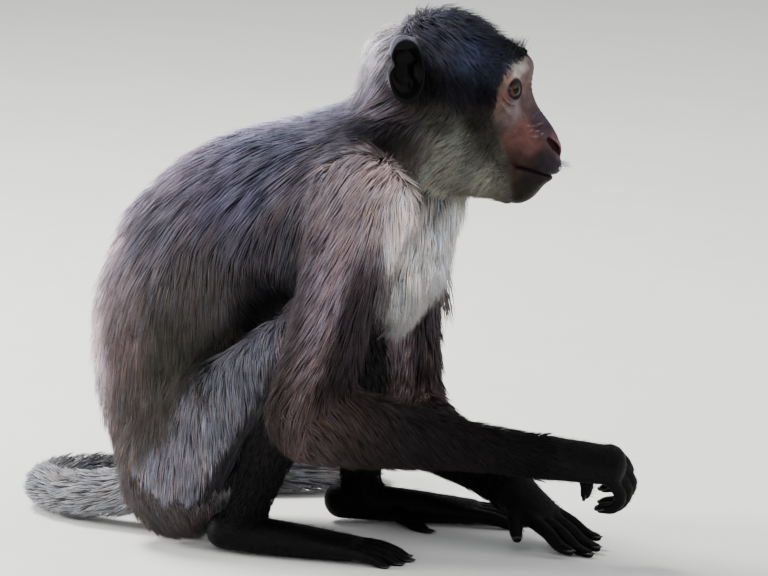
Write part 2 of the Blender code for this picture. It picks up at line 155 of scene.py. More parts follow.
KNUCKLE_STEP = 1.5  # how far each knuckle lies behind that of the second digit
LAST_DIGIT = 0.9  # the outermost digit's thickness against the others'
BONE_SHARES = (0.42, 0.33, 0.25)
DIGIT_TAPER = (1.0, 1.06, 0.96, 0.86, 0.66)
THUMB = {"along": 0.42, "aside": 21, "under": 15, "thick": 1.08, "bend": 0.35}

TAIL_PATH = (
    (-14, 2, 38), (-48, 10, 25), (-88, 26, 18), (-118, 60, 16.5), (-106, 100, 16), (-62, 122, 15.5),
    (-8, 134, 15), (46, 144, 14.5), (88, 168, 13.5), (84, 206, 12.5), (42, 222, 11), (-4, 216, 8),
)
TAIL_GIRTH = (20, 19, 18, 17.5, 17, 16.5, 16, 15.5, 14.5, 13.5, 12, 8.5)

HEAD_PIVOT = np.array((177.8, 0.0, 310.0))
HEAD_YAW = math.radians(8)
EYE_PLACE = np.array((53.5, 16.5, 15.0))
EYE_RADIUS = 10.0
EAR_PLACE = (-11, 33, 35)
EAR_HEIGHT, EAR_WIDTH = 45, 25
EAR_ANGLES = (26, 8, 10)  # degrees: its back edge outwards, its top outwards and its top backwards
EAR_HINGE = 0.36  # the share of its width from its middle to the line that it turns on
EAR_STAND = 2.0
EAR_SPAN = 15.0  # about the distance from its middle to its rim
EAR_FORMS = {
    "fold": ((1.5, 9.0, 17.5), (9.5, 3.8, 6.2)),
    "under_fold": ((0.0, 9.5, 13.0), (10.5, 3.2, 3.6)),
    "tragus": ((8.5, 5.5, -4.5), (3.6, 4.4, 7.0)),
    "root": ((4.0, -6.0, -3.0), (8.0, 9.0, 14.0)),
    "hollow": ((-1.0, 6.0, -2.0), (8.5, 8.0, 12.0)),
}

# How deep the coat is over each part of the skin, and the least girth that it leaves.
COAT_DEPTH = {
    "trunk": 12.0, "neck": 11.0, "bib": 15.0, "apron": 8.0, "yoke": 13.0, "shoulder": 9.0, "haunch": 10.0,
    "upper_arm": (9.0, 8.0, 7.5, 7.5, 7.0), "forearm": (7.0, 6.0, 4.5, 3.0, 1.5),
    "thigh": (10.0, 10.0, 9.0, 8.0, 7.0), "shank": (7.0, 6.5, 5.0, 3.0, 1.5), "tail": 6.0,
    "crown": 9.0, "cheek": 10.0, "extremity": 0.8,
}
LEAST_GIRTH = 2.5


# ---- shapes as distances

def unit(v):
    v = np.asarray(v, float)
    return v / np.maximum(np.linalg.norm(v, axis=-1, keepdims=True), 1e-9)


def spline(rows, steps):
    """Points of a Catmull-Rom curve through rows of numbers, steps to a span."""
    rows = np.array(rows, float)
    ends = np.vstack((2 * rows[0] - rows[1], rows, 2 * rows[-1] - rows[-2]))
    found = []
    for a, b, c, d in zip(ends, ends[1:], ends[2:], ends[3:]):
        for t in np.arange(steps) / steps:
            found.append(0.5 * (2 * b + (c - a) * t + (2 * a - 5 * b + 4 * c - d) * t**2
                                + (3 * b - a - 3 * c + d) * t**3))
    return np.array([*found, rows[-1]])


def scaled_distance(*terms):
    """About how far a point is outside a form, from (offset, radius) along each of its axes."""
    near = sum((v / r) ** 2 for v, r in terms)
    steep = sum((v / r**2) ** 2 for v, r in terms)
    near = np.sqrt(near) + 1e-6
    return near * (near - 1) / (np.sqrt(steep) + 1e-6)


class Ball:
    """An ellipsoid, pitched nose down by an angle in degrees."""

    def __init__(self, centre, radii, pitch=0.0):
        c, s = math.cos(math.radians(pitch)), math.sin(math.radians(pitch))
        self.centre, self.radii = np.array(centre, float), np.array(radii, float)
        self.axes = np.array(((c, 0, -s), (0, 1, 0), (s, 0, c)))
        reach = np.sqrt(((self.axes.T * self.radii) ** 2).sum(axis=1))
        self.low, self.high = self.centre - reach, self.centre + reach

    def __call__(self, x, y, z):
        x, y, z = x - self.centre[0], y - self.centre[1], z - self.centre[2]
        terms = [(x * a[0] + y * a[1] + z * a[2], r) for a, r in zip(self.axes, self.radii)]
        return scaled_distance(*terms)


class Cone:
    """A length of limb between two points, with an oval section that changes along it."""

    def __init__(self, start, end, size, end_size, across):
        self.start, self.length = start, float(np.linalg.norm(end - start))
        self.along = (end - start) / self.length
        self.side = unit(across - np.dot(across, self.along) * self.along)
        self.up = np.cross(self.along, self.side)
        self.size, self.grow = size, end_size - size
        reach = max(*size, *end_size)
        self.low, self.high = np.minimum(start, end) - reach, np.maximum(start, end) + reach

    def __call__(self, x, y, z):
        x, y, z = x - self.start[0], y - self.start[1], z - self.start[2]
        run = x * self.along[0] + y * self.along[1] + z * self.along[2]
        share = np.clip(run / self.length, 0, 1)
        depth = self.size[0] + self.grow[0] * share
        width = self.size[1] + self.grow[1] * share
        up = x * self.up[0] + y * self.up[1] + z * self.up[2]
        side = x * self.side[0] + y * self.side[1] + z * self.side[2]
        past = run - share * self.length
        return scaled_distance((up, depth), (side, width), (past, np.minimum(depth, width)))


class Tube:
    """Cones end to end along a smooth path, with girths along it; widths lie along across."""

    def __init__(self, path, girths, across=(0, 1, 0), steps=4):
        rows, sizes = spline(path, steps), spline(girths, steps)
        across = np.array(across, float)
        self.cones = [Cone(a, b, p, q, across) for a, b, p, q in zip(rows, rows[1:], sizes, sizes[1:])]
        self.low = np.min([c.low for c in self.cones], axis=0)
        self.high = np.max([c.high for c in self.cones], axis=0)

    def __call__(self, x, y, z):
        total = self.cones[0](x, y, z)
        for cone in self.cones[1:]:
            total = np.minimum(total, cone(x, y, z))
        return total


def blend(a, b, soft):
    """The union of two forms with a soft fillet."""
    mix = np.clip(0.5 + 0.5 * (b - a) / soft, 0, 1)
    return b + (a - b) * mix - soft * mix * (1 - mix)


def carve(a, b, soft):
    """Form a with form b taken out of it."""
    return -blend(-a, b, soft)


def ease(v, start, end):
    """0 before start, 1 after end, smooth between."""
    t = np.clip((v - start) / (end - start), 0, 1)
    return t * t * (3 - 2 * t)


def hump(v, middle, width):
    """1 at the middle, falling away to 0 over about the width."""
    return np.exp(-(((v - middle) / width) ** 2))


def sided(place, sign):
    """A place on the animal's left, or where sign is -1 its mirror image on the right."""
    return np.array(place, float) * (1, sign, 1)


class Group:
    """Forms that belong together, and how softly they run into each other and into the rest."""

    def __init__(self, forms, inner, outer):
        self.forms, self.inner, self.outer = forms, inner, outer
        self.low = np.min([f.low for f in forms], axis=0)
        self.high = np.max([f.high for f in forms], axis=0)

    def __call__(self, x, y, z):
        total = None
        for form in self.forms:
            value = form(x, y, z)
            total = value if total is None else blend(total, value, self.inner)
        return total


# ---- body

def thinner(girths, depth):
    """The skin's girths under a coat of one depth, or of one depth for each girth."""
    depths = np.broadcast_to(np.array(depth, float).reshape(-1, 1), (len(girths), 1))
    return np.maximum(np.array(girths, float) - depths, LEAST_GIRTH)


def spine_tube(rows, depth):
    """A tube in the middle plane from rows of (x, z, half depth, half width)."""
    return Tube([(x, 0, z) for x, z, _, _ in rows], thinner([(d, w) for _, _, d, w in rows], depth))


def shrunk(form, depth):
    centre, radii = form
    return Ball(centre, np.array(radii) - depth)


def bone(start, end, girths, depth):
    path = np.linspace(start, end, len(girths))
    return Tube(path, thinner(girths, depth))


def digit(root, forward, palm, length, radius, bends):
    """(path, radii, axis of its bends, way of its tip) of a finger or toe whose bones bend to the palm."""
    axis = unit(np.cross(forward, palm))
    path, heading = [root - forward * radius, root], forward
    for share, bend in zip(BONE_SHARES, bends):
        angle = math.radians(bend)
        heading = heading * math.cos(angle) + np.cross(axis, heading) * math.sin(angle)
        path.append(path[-1] + heading * length * share)
    return path, [radius * share for share in DIGIT_TAPER], axis, heading


def extremity(kind, wrist, knuckles, pose, heel=0.0):
    """The forms of a hand or foot, and each nail's place as (tip, heading, back, the digit's radius)."""
    wrist, knuckles = np.array(wrist, float), np.array(knuckles, float)
    forward = unit(knuckles - wrist)
    palm = np.array(pose["palm"])
    palm = unit(palm - np.dot(palm, forward) * forward)
    inward = np.array(pose["thumb_side"])
    inward = unit(inward - np.dot(inward, forward) * forward - np.dot(inward, palm) * palm)
    start = wrist - forward * heel
    middle = (start + knuckles) / 2
    forms = [Tube([start, middle, knuckles], thinner(kind["palm"], COAT_DEPTH["extremity"]), inward)]
    plans = []
    for k, length in enumerate(kind["lengths"]):
        out = MIDDLE_DIGIT - k
        spread = DIGIT_SPREAD * out
        heading = unit(forward * math.cos(spread) + inward * math.sin(spread))
        root = knuckles + inward * (out * kind["spacing"]) - forward * (abs(k - 1) * KNUCKLE_STEP)
        radius = DIGIT_RADIUS * (1.0 if k < 3 else LAST_DIGIT)
        plans.append((root, heading, length, radius, pose["bends"]))
    ahead, aside, under = pose["thumb_lie"]
    root = start + (knuckles - start) * THUMB["along"]
    root = root + inward * THUMB["aside"] * aside + palm * THUMB["under"] * under
    heading = unit(forward * ahead + inward * aside + palm * under)
    bends = [bend * THUMB["bend"] for bend in pose["bends"]]
    plans.append((root, heading, kind["thumb"], DIGIT_RADIUS * THUMB["thick"], bends))
    nails = []
    for root, heading, length, radius, bends in plans:
        path, radii, axis, last = digit(root, heading, palm, length, radius, bends)
        forms.append(Tube(path, [(r, r) for r in radii], axis, steps=3))
        back = unit(np.cross(last, axis))
        if np.dot(back, palm) > 0:
            back = -back
        nails.append((path[-1] + last * radii[-1] * 0.25, last, back, radius))
    return forms, nails


def hand(side):
    return extremity(HAND, WRIST[side], KNUCKLES[side], HAND_POSE[side])


def foot(side):
    x, y, _ = ANKLE[side]
    return extremity(FOOT, (x - 6, y, SOLE_HEIGHT), TOE_LINE[side], FOOT_POSE[side], HEEL)


def body_groups():
    """The forms of the body's skin, by part."""
    depth = COAT_DEPTH
    haunches = [
        Ball(sided(HAUNCH[0], sign), np.array(HAUNCH[1]) - depth["haunch"]) for sign in SIDES.values()
    ]
    trunk = [spine_tube(TRUNK, depth["trunk"]), shrunk(YOKE, depth["yoke"]), *haunches]
    groups = {
        "trunk": Group(trunk, 6.0, 8.0),
        "neck": Group([spine_tube(NECK, depth["neck"])], 4.0, 14.0),
        "bib": Group([shrunk(BIB, depth["bib"]), spine_tube(APRON, depth["apron"])], 6.0, 12.0),
    }
    for side in SIDES:
        shoulder = shrunk((SHOULDER[side], SHOULDER_SIZE), depth["shoulder"])
        upper = bone(SHOULDER[side], ELBOW[side], UPPER_ARM_GIRTH, depth["upper_arm"])
        fore = bone(ELBOW[side], WRIST[side], FOREARM_GIRTH, depth["forearm"])
        thigh = bone(HIP[side], KNEE[side], THIGH_GIRTH, depth["thigh"])
        shank = bone(KNEE[side], ANKLE[side], SHANK_GIRTH, depth["shank"])
        groups[f"upper_arm_{side}"] = Group([shoulder, upper], 8.0, 10.0)
        groups[f"forearm_{side}"] = Group([fore], 2.0, 9.0)
        groups[f"thigh_{side}"] = Group([thigh], 2.0, 9.0)
        groups[f"shank_{side}"] = Group([shank], 2.0, 8.0)
        groups[f"hand_{side}"] = Group(hand(side)[0], 1.6, 4.0)
        groups[f"foot_{side}"] = Group(foot(side)[0], 1.6, 5.0)
    tail = Tube(TAIL_PATH, thinner([(g, g) for g in TAIL_GIRTH], depth["tail"]), (0, 0, 1))
    groups["tail"] = Group([tail], 1.0, 6.0)
    return groups


# ---- head, in its own frame

def to_head(points):
    """Places in the world's frame as places in the head's."""
    c, s = math.cos(HEAD_YAW), math.sin(HEAD_YAW)
    x, y, z = (points - HEAD_PIVOT).T
    return np.stack((c * x + s * y, -s * x + c * y, z), axis=1)


def to_world(points, turn_only=False):
    """Places in the head's frame, or with turn_only ways, as those of the world's."""
    c, s = math.cos(HEAD_YAW), math.sin(HEAD_YAW)
    x, y, z = np.asarray(points, float).T
    turned = np.stack((c * x - s * y, s * x + c * y, z), axis=-1)
    return turned if turn_only else turned + HEAD_PIVOT


def ear_place(sign):
    """The matrix from the ear's own frame (x back to front, y outwards, z up) to the head's."""
    flare, lean, tilt = (math.radians(angle) for angle in EAR_ANGLES)
    return (
        Matrix.Translation(sided(EAR_PLACE, sign))
        @ Matrix.Rotation(-sign * flare, 4, "Z")
        @ Matrix.Rotation(-sign * lean, 4, "X")
        @ Matrix.Rotation(-tilt, 4, "Y")
        @ Matrix.Translation((-EAR_WIDTH * EAR_HINGE, sign * EAR_STAND, 0))
        @ Matrix.Diagonal((1, sign, 1, 1))
    )


def ear_outline(angle):
    """How far the rim stands out at an angle: a blunt point behind the top and a dip behind the middle."""
    wrapped = np.mod(angle, 2 * math.pi)
    point = 0.1 * hump(wrapped, math.radians(118), 0.45)
    dip = 0.3 * hump(wrapped, math.radians(160), 0.24)
    lobe = 0.06 * hump(wrapped, math.radians(215), 0.5)
    return 1 + point - dip + lobe


def ear_field(x, y, z):
    """The ear as a cupped shell with a rolled rim, an inner ridge and a tragus, in its own frame."""
    u, w = x / (EAR_WIDTH / 2), z / (EAR_HEIGHT / 2)
    share = np.sqrt(u * u + w * w) / ear_outline(np.arctan2(w, u))
    out = share * EAR_SPAN
    form = {name: Ball(*values)(x, y, z) for name, values in EAR_FORMS.items()}
    cup = 6.5 * share**2 + 2.2 * ease(share, 0.8, 1.0)
    shell = np.abs(y - cup + 1.2) - 1.3
    edge = (share - 0.98) * EAR_SPAN
    ear = -blend(-shell * 0.86, -edge, 1.5)
    roll_height = cup + 1.2
    roll = np.sqrt((out - 14.0) ** 2 + (y - roll_height) ** 2) - 2.0 - 0.9 * ease(z, 4, 20)
    ear = blend(ear, roll, 2.0)
    ear = blend(ear, carve(form["fold"], form["under_fold"], 1.5), 2.5)
    ridge = np.sqrt((out - 9.3) ** 2 + (y - cup - 0.4) ** 2) - 1.6
    ridge = np.maximum(ridge, (x - 2.0) * 0.8)
    ear = blend(ear, ridge, 2.0)
    return blend(blend(ear, form["tragus"], 2.5), carve(form["root"], form["hollow"], 2), 4.0)


def eye_centre(sign):
    return sided(EYE_PLACE, sign)


ORBIT_WAY = math.radians(33)  # how far each eye opening faces to its side
LID_THICKNESS = 1.2
OPENING = (0.84, 0.73)  # half width and half height of the opening, in radians on the ball
EYE_SLANT = math.radians(4)
SOCKET = ((10.5, 5.0, -2.0), (7.5, 9.0, 9.5))  # the hollow before each eye: its place from the eye, and radii


def opening_angles(x, y, z, sign):
    """How far a point lies to the side of the opening's middle and over it, as angles at the ball's middle,
    and its distance from there."""
    cx, cy, cz = eye_centre(sign)
    x, y, z = x - cx, (y - cy) * sign, z - cz
    c, s = math.cos(ORBIT_WAY), math.sin(ORBIT_WAY)
    ahead, aside = x * c + y * s, -x * s + y * c
    far = np.sqrt(x * x + y * y + z * z) + 1e-6
    up = np.arcsin(np.clip(z / far, -1, 1)) - EYE_SLANT
    return np.arctan2(aside, ahead), up, far


def opening_share(aside, up):
    """0 in the middle of the opening between the lids, and 1 at its edge."""
    return np.sqrt((aside / OPENING[0]) ** 2 + (up / OPENING[1]) ** 2) + 0.12 * np.abs(up) * np.abs(aside)


def eye_folds(aside, up, far):
    """How deep the folds under the eye and over its upper lid are, in millimetres outward."""
    round_eye = np.sqrt((aside / 1.15) ** 2 + up**2) * EYE_RADIUS
    near = hump(far, EYE_RADIUS + 3, 6.0)
    below = ease(-up, 0.15, 0.7) * (1 - ease(round_eye, 15, 20)) * near
    below = below * (1 - ease(aside, 1.1, 1.5)) * ease(aside, -0.85, -0.35) * ease(round_eye, 8.4, 9.6)
    above = ease(up, 0.4, 0.8) * near * (1 - ease(aside, 1.0, 1.4)) * ease(aside, -0.7, -0.3)
    return 0.6 * np.cos(round_eye * 2 * math.pi / 2.6) * below - 0.85 * hump(round_eye, 10.6, 0.75) * above


def head_forms():
    """Named groups of forms of the head's skin."""
    coat, cheek = COAT_DEPTH["crown"], COAT_DEPTH["cheek"]
    skull = [
        Ball((1, 0, 18), np.array((51, 44, 46)) - coat),
        Ball((12, 0, 35), np.array((46, 35, 35)) - coat, 26),
        Ball((-23, 0, 22), np.array((26, 33, 40)) - coat),
        Ball((36, 0, 26), (24.5, 28, 19)),
    ]
    jowls = [Ball((17, 0, -26), np.array((42, 44, 37)) - cheek)]
    brow = Tube(
        ((43, -27, 20), (54, -18, 29), (60, 0, 29.5), (54, 18, 29), (43, 27, 20)),
        ((5, 5), (6.5, 6.5), (8.5, 8.5), (6.5, 6.5), (5, 5)), (0, 0, 1),
    )
    face = [Ball((36, 0, 12), (25, 29, 29)), Ball((44, 0, 2), (20, 25, 20)), brow]
    for sign in SIDES.values():
        jowls.append(Tube(
            [(x, sign * y, z) for x, y, z in ((4, 26, -32), (34, 19, -46), (62, 8, -54))],
            ((13, 9), (11, 10), (10, 8)),
        ))
        face.append(Ball((43, sign * 18, -3), (14, 8.5, 12)))
    bridge = Tube(
        ((62, 0, 27), (62.5, 0, 12), (66.5, 0, 0), (73.5, 0, -11), (81.5, 0, -22), (84.5, 0, -30)),
        ((8, 9.5), (7.5, 7), (7.5, 7), (7.3, 7.5), (6.6, 8), (6, 8.2)),
    )
    muzzle = [
        Ball((60, 0, -21), (27, 19.5, 21), 24),
        Ball((68, 0, -30), (20, 17.5, 14), 10),
        Ball((77, 0, -39.5), (14.8, 15.5, 8.2), 4),
        Ball((61.5, 0, -54), (16.5, 13.5, 11.5), -16),
        Ball((73.5, 0, -50.5), (10.8, 11.5, 4.8), -12),
        bridge,
    ]
    for sign in SIDES.values():
        muzzle.append(Ball((83.5, sign * 6.0, -28.5), (6.6, 4.6, 6.0), 30))  # the wing of the nostril
    return Group(skull, 8, 10), Group(jowls, 8, 10), Group(face, 8, 8), Group(muzzle, 4.5, 8)


HEAD_FORMS = head_forms()
NOSTRIL = {
    sign: Tube(((82.6, sign * 9.6, -21.5), (86.2, sign * 8.6, -25.8), (89.0, sign * 6.4, -29.8)),
               ((1.8, 1.7), (3.0, 2.8), (2.4, 2.3)), steps=2)
    for sign in SIDES.values()
}


def mouth_line(x):
    """The height of the line between the lips."""
    return -39.5 - 0.22 * (x - 60) - 0.004 * (x - 60) ** 2


def with_eye(head, x, y, z, sign):
    """The head with the socket, lids and folds of one eye, and the opening between its lids."""
    place, radii = SOCKET
    head = carve(head, Ball(eye_centre(sign) + sided(place, sign), radii)(x, y, z), 8)
    aside, up, far = opening_angles(x, y, z, sign)
    head = blend(head, far - (EYE_RADIUS + LID_THICKNESS), 4.5)
    head = head - eye_folds(aside, up, far) * ease(x, 40, 50)
    cone = (opening_share(aside, up) - 1) * 7.0
    pit = -blend(-cone, -(EYE_RADIUS - 2.2 - far), 0.5)
    pit = np.maximum(pit, far - EYE_RADIUS - 4)
    return carve(head, pit, 0.7)


def with_nostril(head, x, y, z, sign):
    """The head with one nostril and the groove behind its wing."""
    head = carve(head, NOSTRIL[sign](x, y, z), 1.2)
    wing = np.sqrt((x - 78.0) ** 2 + (z + 27.0) ** 2) - 7.5
    behind = ease(x, 69, 73) * (1 - ease(x, 76, 80)) * ease(z, -32, -27) * ease(sign * y, 4, 6)
    return head + 0.7 * hump(wing, 0, 1.3) * behind


def with_mouth(head, x, y, z):
    """The head with the line between its lips, their rolled edges and the groove in the upper lip."""
    line = z - mouth_line(x)
    lips = ease(x, 56, 63)
    head = head + 1.3 * hump(line, 0, 0.85) * lips
    head = head - 0.55 * (hump(line, 3.2, 2.2) + hump(line, -3.0, 2.0)) * lips
    middle = hump(y, 0, 1.0) * ease(x, 86, 90) * (1 - ease(z, -33, -31)) * ease(z, -41, -39)
    return head + 0.9 * middle


def with_wrinkles(head, x, y, z):
    """The head with wrinkles across the nose and between the eyes."""
    across = np.cos((z * 0.8 - x * 0.6) * 2 * math.pi / 3.4 + 0.9 * np.sin(y * 0.5))
    nose = ease(x, 66, 70) * (1 - ease(x, 80, 84)) * ease(z, -24, -18) * (1 - ease(z, -2, 4))
    head = head + 0.16 * across * nose
    between = hump(y, 0, 7) * ease(x, 63, 67) * ease(z, 8, 12) * (1 - ease(z, 20, 26))
    return head + 0.22 * np.cos(z * 2 * math.pi / 3.6) * between


def head_field(x, y, z, detail=True):
    """How far a point is outside the skin of the head, in the head's own frame."""
    skull, jowls, face, muzzle = (group(x, y, z) for group in HEAD_FORMS)
    head = blend(blend(blend(skull, jowls, 12), face, 7), muzzle, 10)
    if not detail:
        return head
    for sign in SIDES.values():
        head = with_nostril(with_eye(head, x, y, z, sign), x, y, z, sign)
    return with_wrinkles(with_mouth(head, x, y, z), x, y, z)


# ---- volumes

REACH = 20.0  # how far from the skin a distance is still worked out
SLAB = 6  # how many layers of a volume are worked out at a time
HEAD_REACH = np.array(((92, 78, 110), (125, 78, 92)))
FINE_HEAD = np.array(((84, 70, 92), (104, 74, 80)))  # how far the fine volume reaches round the head's pivot
EAR_REACH = 34.0
EAR_CLEARANCE = 4.0  # how far from an ear the coat's roots stay
EAR_TURNS = [np.array(ear_place(sign).inverted(), np.float32) for sign in SIDES.values()]
COARSE = 4  # the fine head is first worked out at every fourth point
NEAR_SKIN = 7.5
FACE_START = 30  # ahead of this, in the head's frame, the skin has fine detail
BODY_STEP, HEAD_STEP = 1.6, 0.75
BODY_TRIANGLES, HEAD_TRIANGLES = 62000, 105000
BOX_MARGIN = 6
SEAM_GAP = 0.8  # from the neck's cut to each of the two edges that the strip joins
SEAM_OVERLAP = 6  # how far below the cut the fine head is kept till it is cut off


class Volume:
    """Distances on a regular grid, read between its points."""

    def __init__(self, low, high, step):
        self.low, self.step = np.array(low, float), step
        shape = np.ceil((np.array(high) - self.low) / step).astype(int) + 1
        self.values = np.full(shape, REACH, np.float32)

    def axes(self, low, high):
        """The slices that hold a box, and the coordinates of their points as open arrays."""
        first = np.clip(np.floor((low - self.low) / self.step).astype(int), 0, self.values.shape)
        last = np.clip(np.ceil((high - self.low) / self.step).astype(int) + 1, 0, self.values.shape)
        where = tuple(slice(a, b) for a, b in zip(first, last))
        lines = [
            (self.low[k] + np.arange(first[k], last[k]) * self.step).astype(np.float32) for k in range(3)
        ]
        return where, np.ix_(*lines)

    def blocks(self, low, high):
        """The box between two corners in thin slabs, as (slices, open arrays of coordinates)."""
        where, lines = self.axes(low, high)
        for start in range(where[0].start, where[0].stop, SLAB):
            stop = min(start + SLAB, where[0].stop)
            rows = lines[0][start - where[0].start:stop - where[0].start]
            yield (slice(start, stop), *where[1:]), (rows, *lines[1:])

    def add(self, group):
        """Blends in a group's forms, each of its pieces worked out only near itself."""
        for where, lines in self.blocks(group.low - REACH, group.high + REACH):
            total = np.full(self.values[where].shape, REACH, np.float32)
            for form in group.forms:
                shape, outer = np.full(total.shape, REACH, np.float32), False
                for piece in getattr(form, "cones", (form,)):
                    inner = tuple(
                        slice(*np.searchsorted(line.ravel(), (low - REACH, high + REACH)))
                        for line, low, high in zip(lines, piece.low, piece.high)
                    )
                    if shape[inner].size == 0:
                        continue
                    points = (lines[0][inner[0]], lines[1][:, inner[1]], lines[2][:, :, inner[2]])
                    shape[inner] = np.minimum(shape[inner], piece(*points))
                    outer = True
                if outer:
                    total = blend(total, shape, group.inner)
            self.values[where] = blend(self.values[where], total, group.outer)

    def at(self, points):
        """The distance at any points, read between the grid's own."""
        place = (points - self.low) / self.step
        place = np.clip(place, 0, np.array(self.values.shape) - 1.001)
        cell = place.astype(int)
        t = place - cell
        total = 0
        for corner in np.ndindex(2, 2, 2):
            weight = np.prod(np.where(corner, t, 1 - t), axis=1)
            i, j, k = (cell + corner).T
            total = total + weight * self.values[i, j, k]
        return total

    def slope(self, points):
        """The direction away from the skin."""
        found = []
        for axis in np.eye(3) * self.step:
            found.append(self.at(points + axis) - self.at(points - axis))
        return unit(np.stack(found, axis=1))

    def surface(self):
        """(points, triangles) of the skin, facing out."""
        grid = openvdb.FloatGrid(REACH)
        grid.copyFromArray(self.values)
        points, quads = grid.convertToQuads(0.0)
        points = points.astype(float) * self.step + self.low
        faces = quads[:, [0, 1, 2, 0, 2, 3]].reshape(-1, 3).astype(int)
        a, b, c = (points[faces[:, k]] for k in range(3))
        if np.einsum("ij,ij->i", a, np.cross(b, c)).sum() < 0:
            faces = faces[:, ::-1]
        return points, faces


def body_volume(groups):
    """The distances round the body without its head."""
    low, high = (np.array(corner) / MM for corner in CAD_BOX)
    volume = Volume(low - BOX_MARGIN, high + BOX_MARGIN, BODY_STEP)
    for group in groups.values():
        volume.add(group)
    return volume


def head_and_ears(x, y, z, around, detail):
    """The distances around the head with the head and its ears added, at points in the head's frame."""
    total = blend(around, head_field(x, y, z, detail), 9.0)
    for turn in EAR_TURNS:
        own = [x * row[0] + y * row[1] + z * row[2] + row[3] for row in turn[:3]]
        near = own[0] ** 2 + own[1] ** 2 + own[2] ** 2 < EAR_REACH**2
        if near.any():
            total = np.where(near, blend(total, ear_field(*own), 4.0), total)
    return total


def add_head(volume, detail):
    """Blends the head into a volume in the world's frame, worked out in full only near the skin."""
    c, s = math.cos(HEAD_YAW), math.sin(HEAD_YAW)
    for where, lines in volume.blocks(HEAD_PIVOT - HEAD_REACH[0], HEAD_PIVOT + HEAD_REACH[1]):
        x, y, z = (line - np.float32(pivot) for line, pivot in zip(lines, HEAD_PIVOT))
        x, y = c * x + s * y, -s * x + c * y
        shape = (len(x), y.shape[1], z.shape[2])
        x, y, z = (np.broadcast_to(v, shape) for v in (x, y, z))
        around = volume.values[where]
        if not detail:
            volume.values[where] = head_and_ears(x, y, z, around, False)
            continue
        thin = (slice(0, 1), slice(None, None, COARSE), slice(None, None, COARSE))
        rough = head_and_ears(x[thin], y[thin], z[thin], around[thin], False)
        rough = rough.repeat(COARSE, axis=1).repeat(COARSE, axis=2)[:, :shape[1], :shape[2]]
        rough = np.broadcast_to(rough, shape)
        near = np.abs(rough) < NEAR_SKIN
        total = rough.copy()
        total[near] = head_and_ears(x[near], y[near], z[near], around[near], False)
        fine = near & (np.abs(total) < NEAR_SKIN) & (x > FACE_START)
        if fine.any():
            total[fine] = head_and_ears(x[fine], y[fine], z[fine], around[fine], True)
        volume.values[where] = total


def mesh_object(name, points, faces):
    """An object from points in millimetres and triangles."""
    mesh = bpy.data.meshes.new(name)
    mesh.vertices.add(len(points))
    mesh.vertices.foreach_set("co", (np.asarray(points) * MM).astype(np.float32).ravel())
    mesh.loops.add(len(faces) * 3)
    mesh.loops.foreach_set("vertex_index", np.asarray(faces, np.int32).ravel())
    mesh.polygons.add(len(faces))
    mesh.polygons.foreach_set("loop_start", np.arange(len(faces), dtype=np.int32) * 3)
    mesh.polygons.foreach_set("loop_total", np.full(len(faces), 3, np.int32))
    mesh.update(calc_edges=True)
    obj = bpy.data.objects.new(name, mesh)
    bpy.context.scene.collection.objects.link(obj)
    return obj


def applied(obj):
    """The object with its modifiers made part of its mesh."""
    graph = bpy.context.evaluated_depsgraph_get()
    mesh = bpy.data.meshes.new_from_object(obj.evaluated_get(graph))
    obj.modifiers.clear()
    obj.data = mesh
    return obj


def arrays(obj):
    """(points in millimetres, triangles) of an object."""
    mesh = obj.data
    mesh.calc_loop_triangles()
    points = np.empty(len(mesh.vertices) * 3, np.float32)
    mesh.vertices.foreach_get("co", points)
    faces = np.empty(len(mesh.loop_triangles) * 3, np.int32)
    mesh.loop_triangles.foreach_get("vertices", faces)
    return points.reshape(-1, 3).astype(float) / MM, faces.reshape(-1, 3)


ATTRIBUTE_FIELDS = {"FLOAT": "value", "FLOAT_VECTOR": "vector", "FLOAT_COLOR": "color"}


def stored(obj, label, kind, values):
    """Keeps a value at each point of the mesh, for its material or its node tree to read."""
    values = np.asarray(values, float)
    if kind == "FLOAT_COLOR":
        values = np.concatenate((values, np.ones((*values.shape[:-1], 1))), axis=-1)
    layer = obj.data.attributes.new(label, kind, "POINT")
    layer.data.foreach_set(ATTRIBUTE_FIELDS[kind], values.astype(np.float32).ravel())


def reduced(points, faces, triangles, plain):
    """The mesh with fewer triangles, taken most where plain is 1."""
    obj = mesh_object("reduced", points, faces)
    weights = obj.vertex_groups.new(name="plain")
    levels = np.round(plain * 4) / 4
    for level in np.unique(levels):
        if level > 0:
            weights.add(np.flatnonzero(levels == level).tolist(), float(level), "REPLACE")
    modifier = obj.modifiers.new("reduced", "DECIMATE")
    modifier.ratio = triangles / len(faces)
    modifier.vertex_group = "plain"
    modifier.vertex_group_factor = 1.0
    applied(obj)
    result = arrays(obj)
    bpy.data.objects.remove(obj)
    return result


def cut_off(points, faces, point, normal):
    """(points, faces, rim) of what lies beyond the plane, where rim lists the points on the cut."""
    obj = mesh_object("cut", points, faces)
    bm = bmesh.new()
    bm.from_mesh(obj.data)
    cut = bmesh.ops.bisect_plane(
        bm, geom=[*bm.verts, *bm.edges, *bm.faces], dist=1e-7,
        plane_co=Vector(point) * MM, plane_no=Vector(normal), clear_inner=True,
    )
    bmesh.ops.triangulate(bm, faces=bm.faces)
    bm.verts.index_update()
    rim = [e.index for e in cut["geom_cut"] if isinstance(e, bmesh.types.BMVert)]
    bm.to_mesh(obj.data)
    bm.free()
    points, faces = arrays(obj)
    bpy.data.objects.remove(obj)
    return points, faces, np.array(rim)


def ring_order(points, rim):
    """The rim's points in order round the neck, and their angles."""
    side = np.array((0.0, 1.0, 0.0))
    up = np.cross(NECK_WAY, side)
    off = points[rim] - points[rim].mean(axis=0)
    angle = np.arctan2(off @ up, off @ side)
    order = np.argsort(angle)
    return rim[order], angle[order]


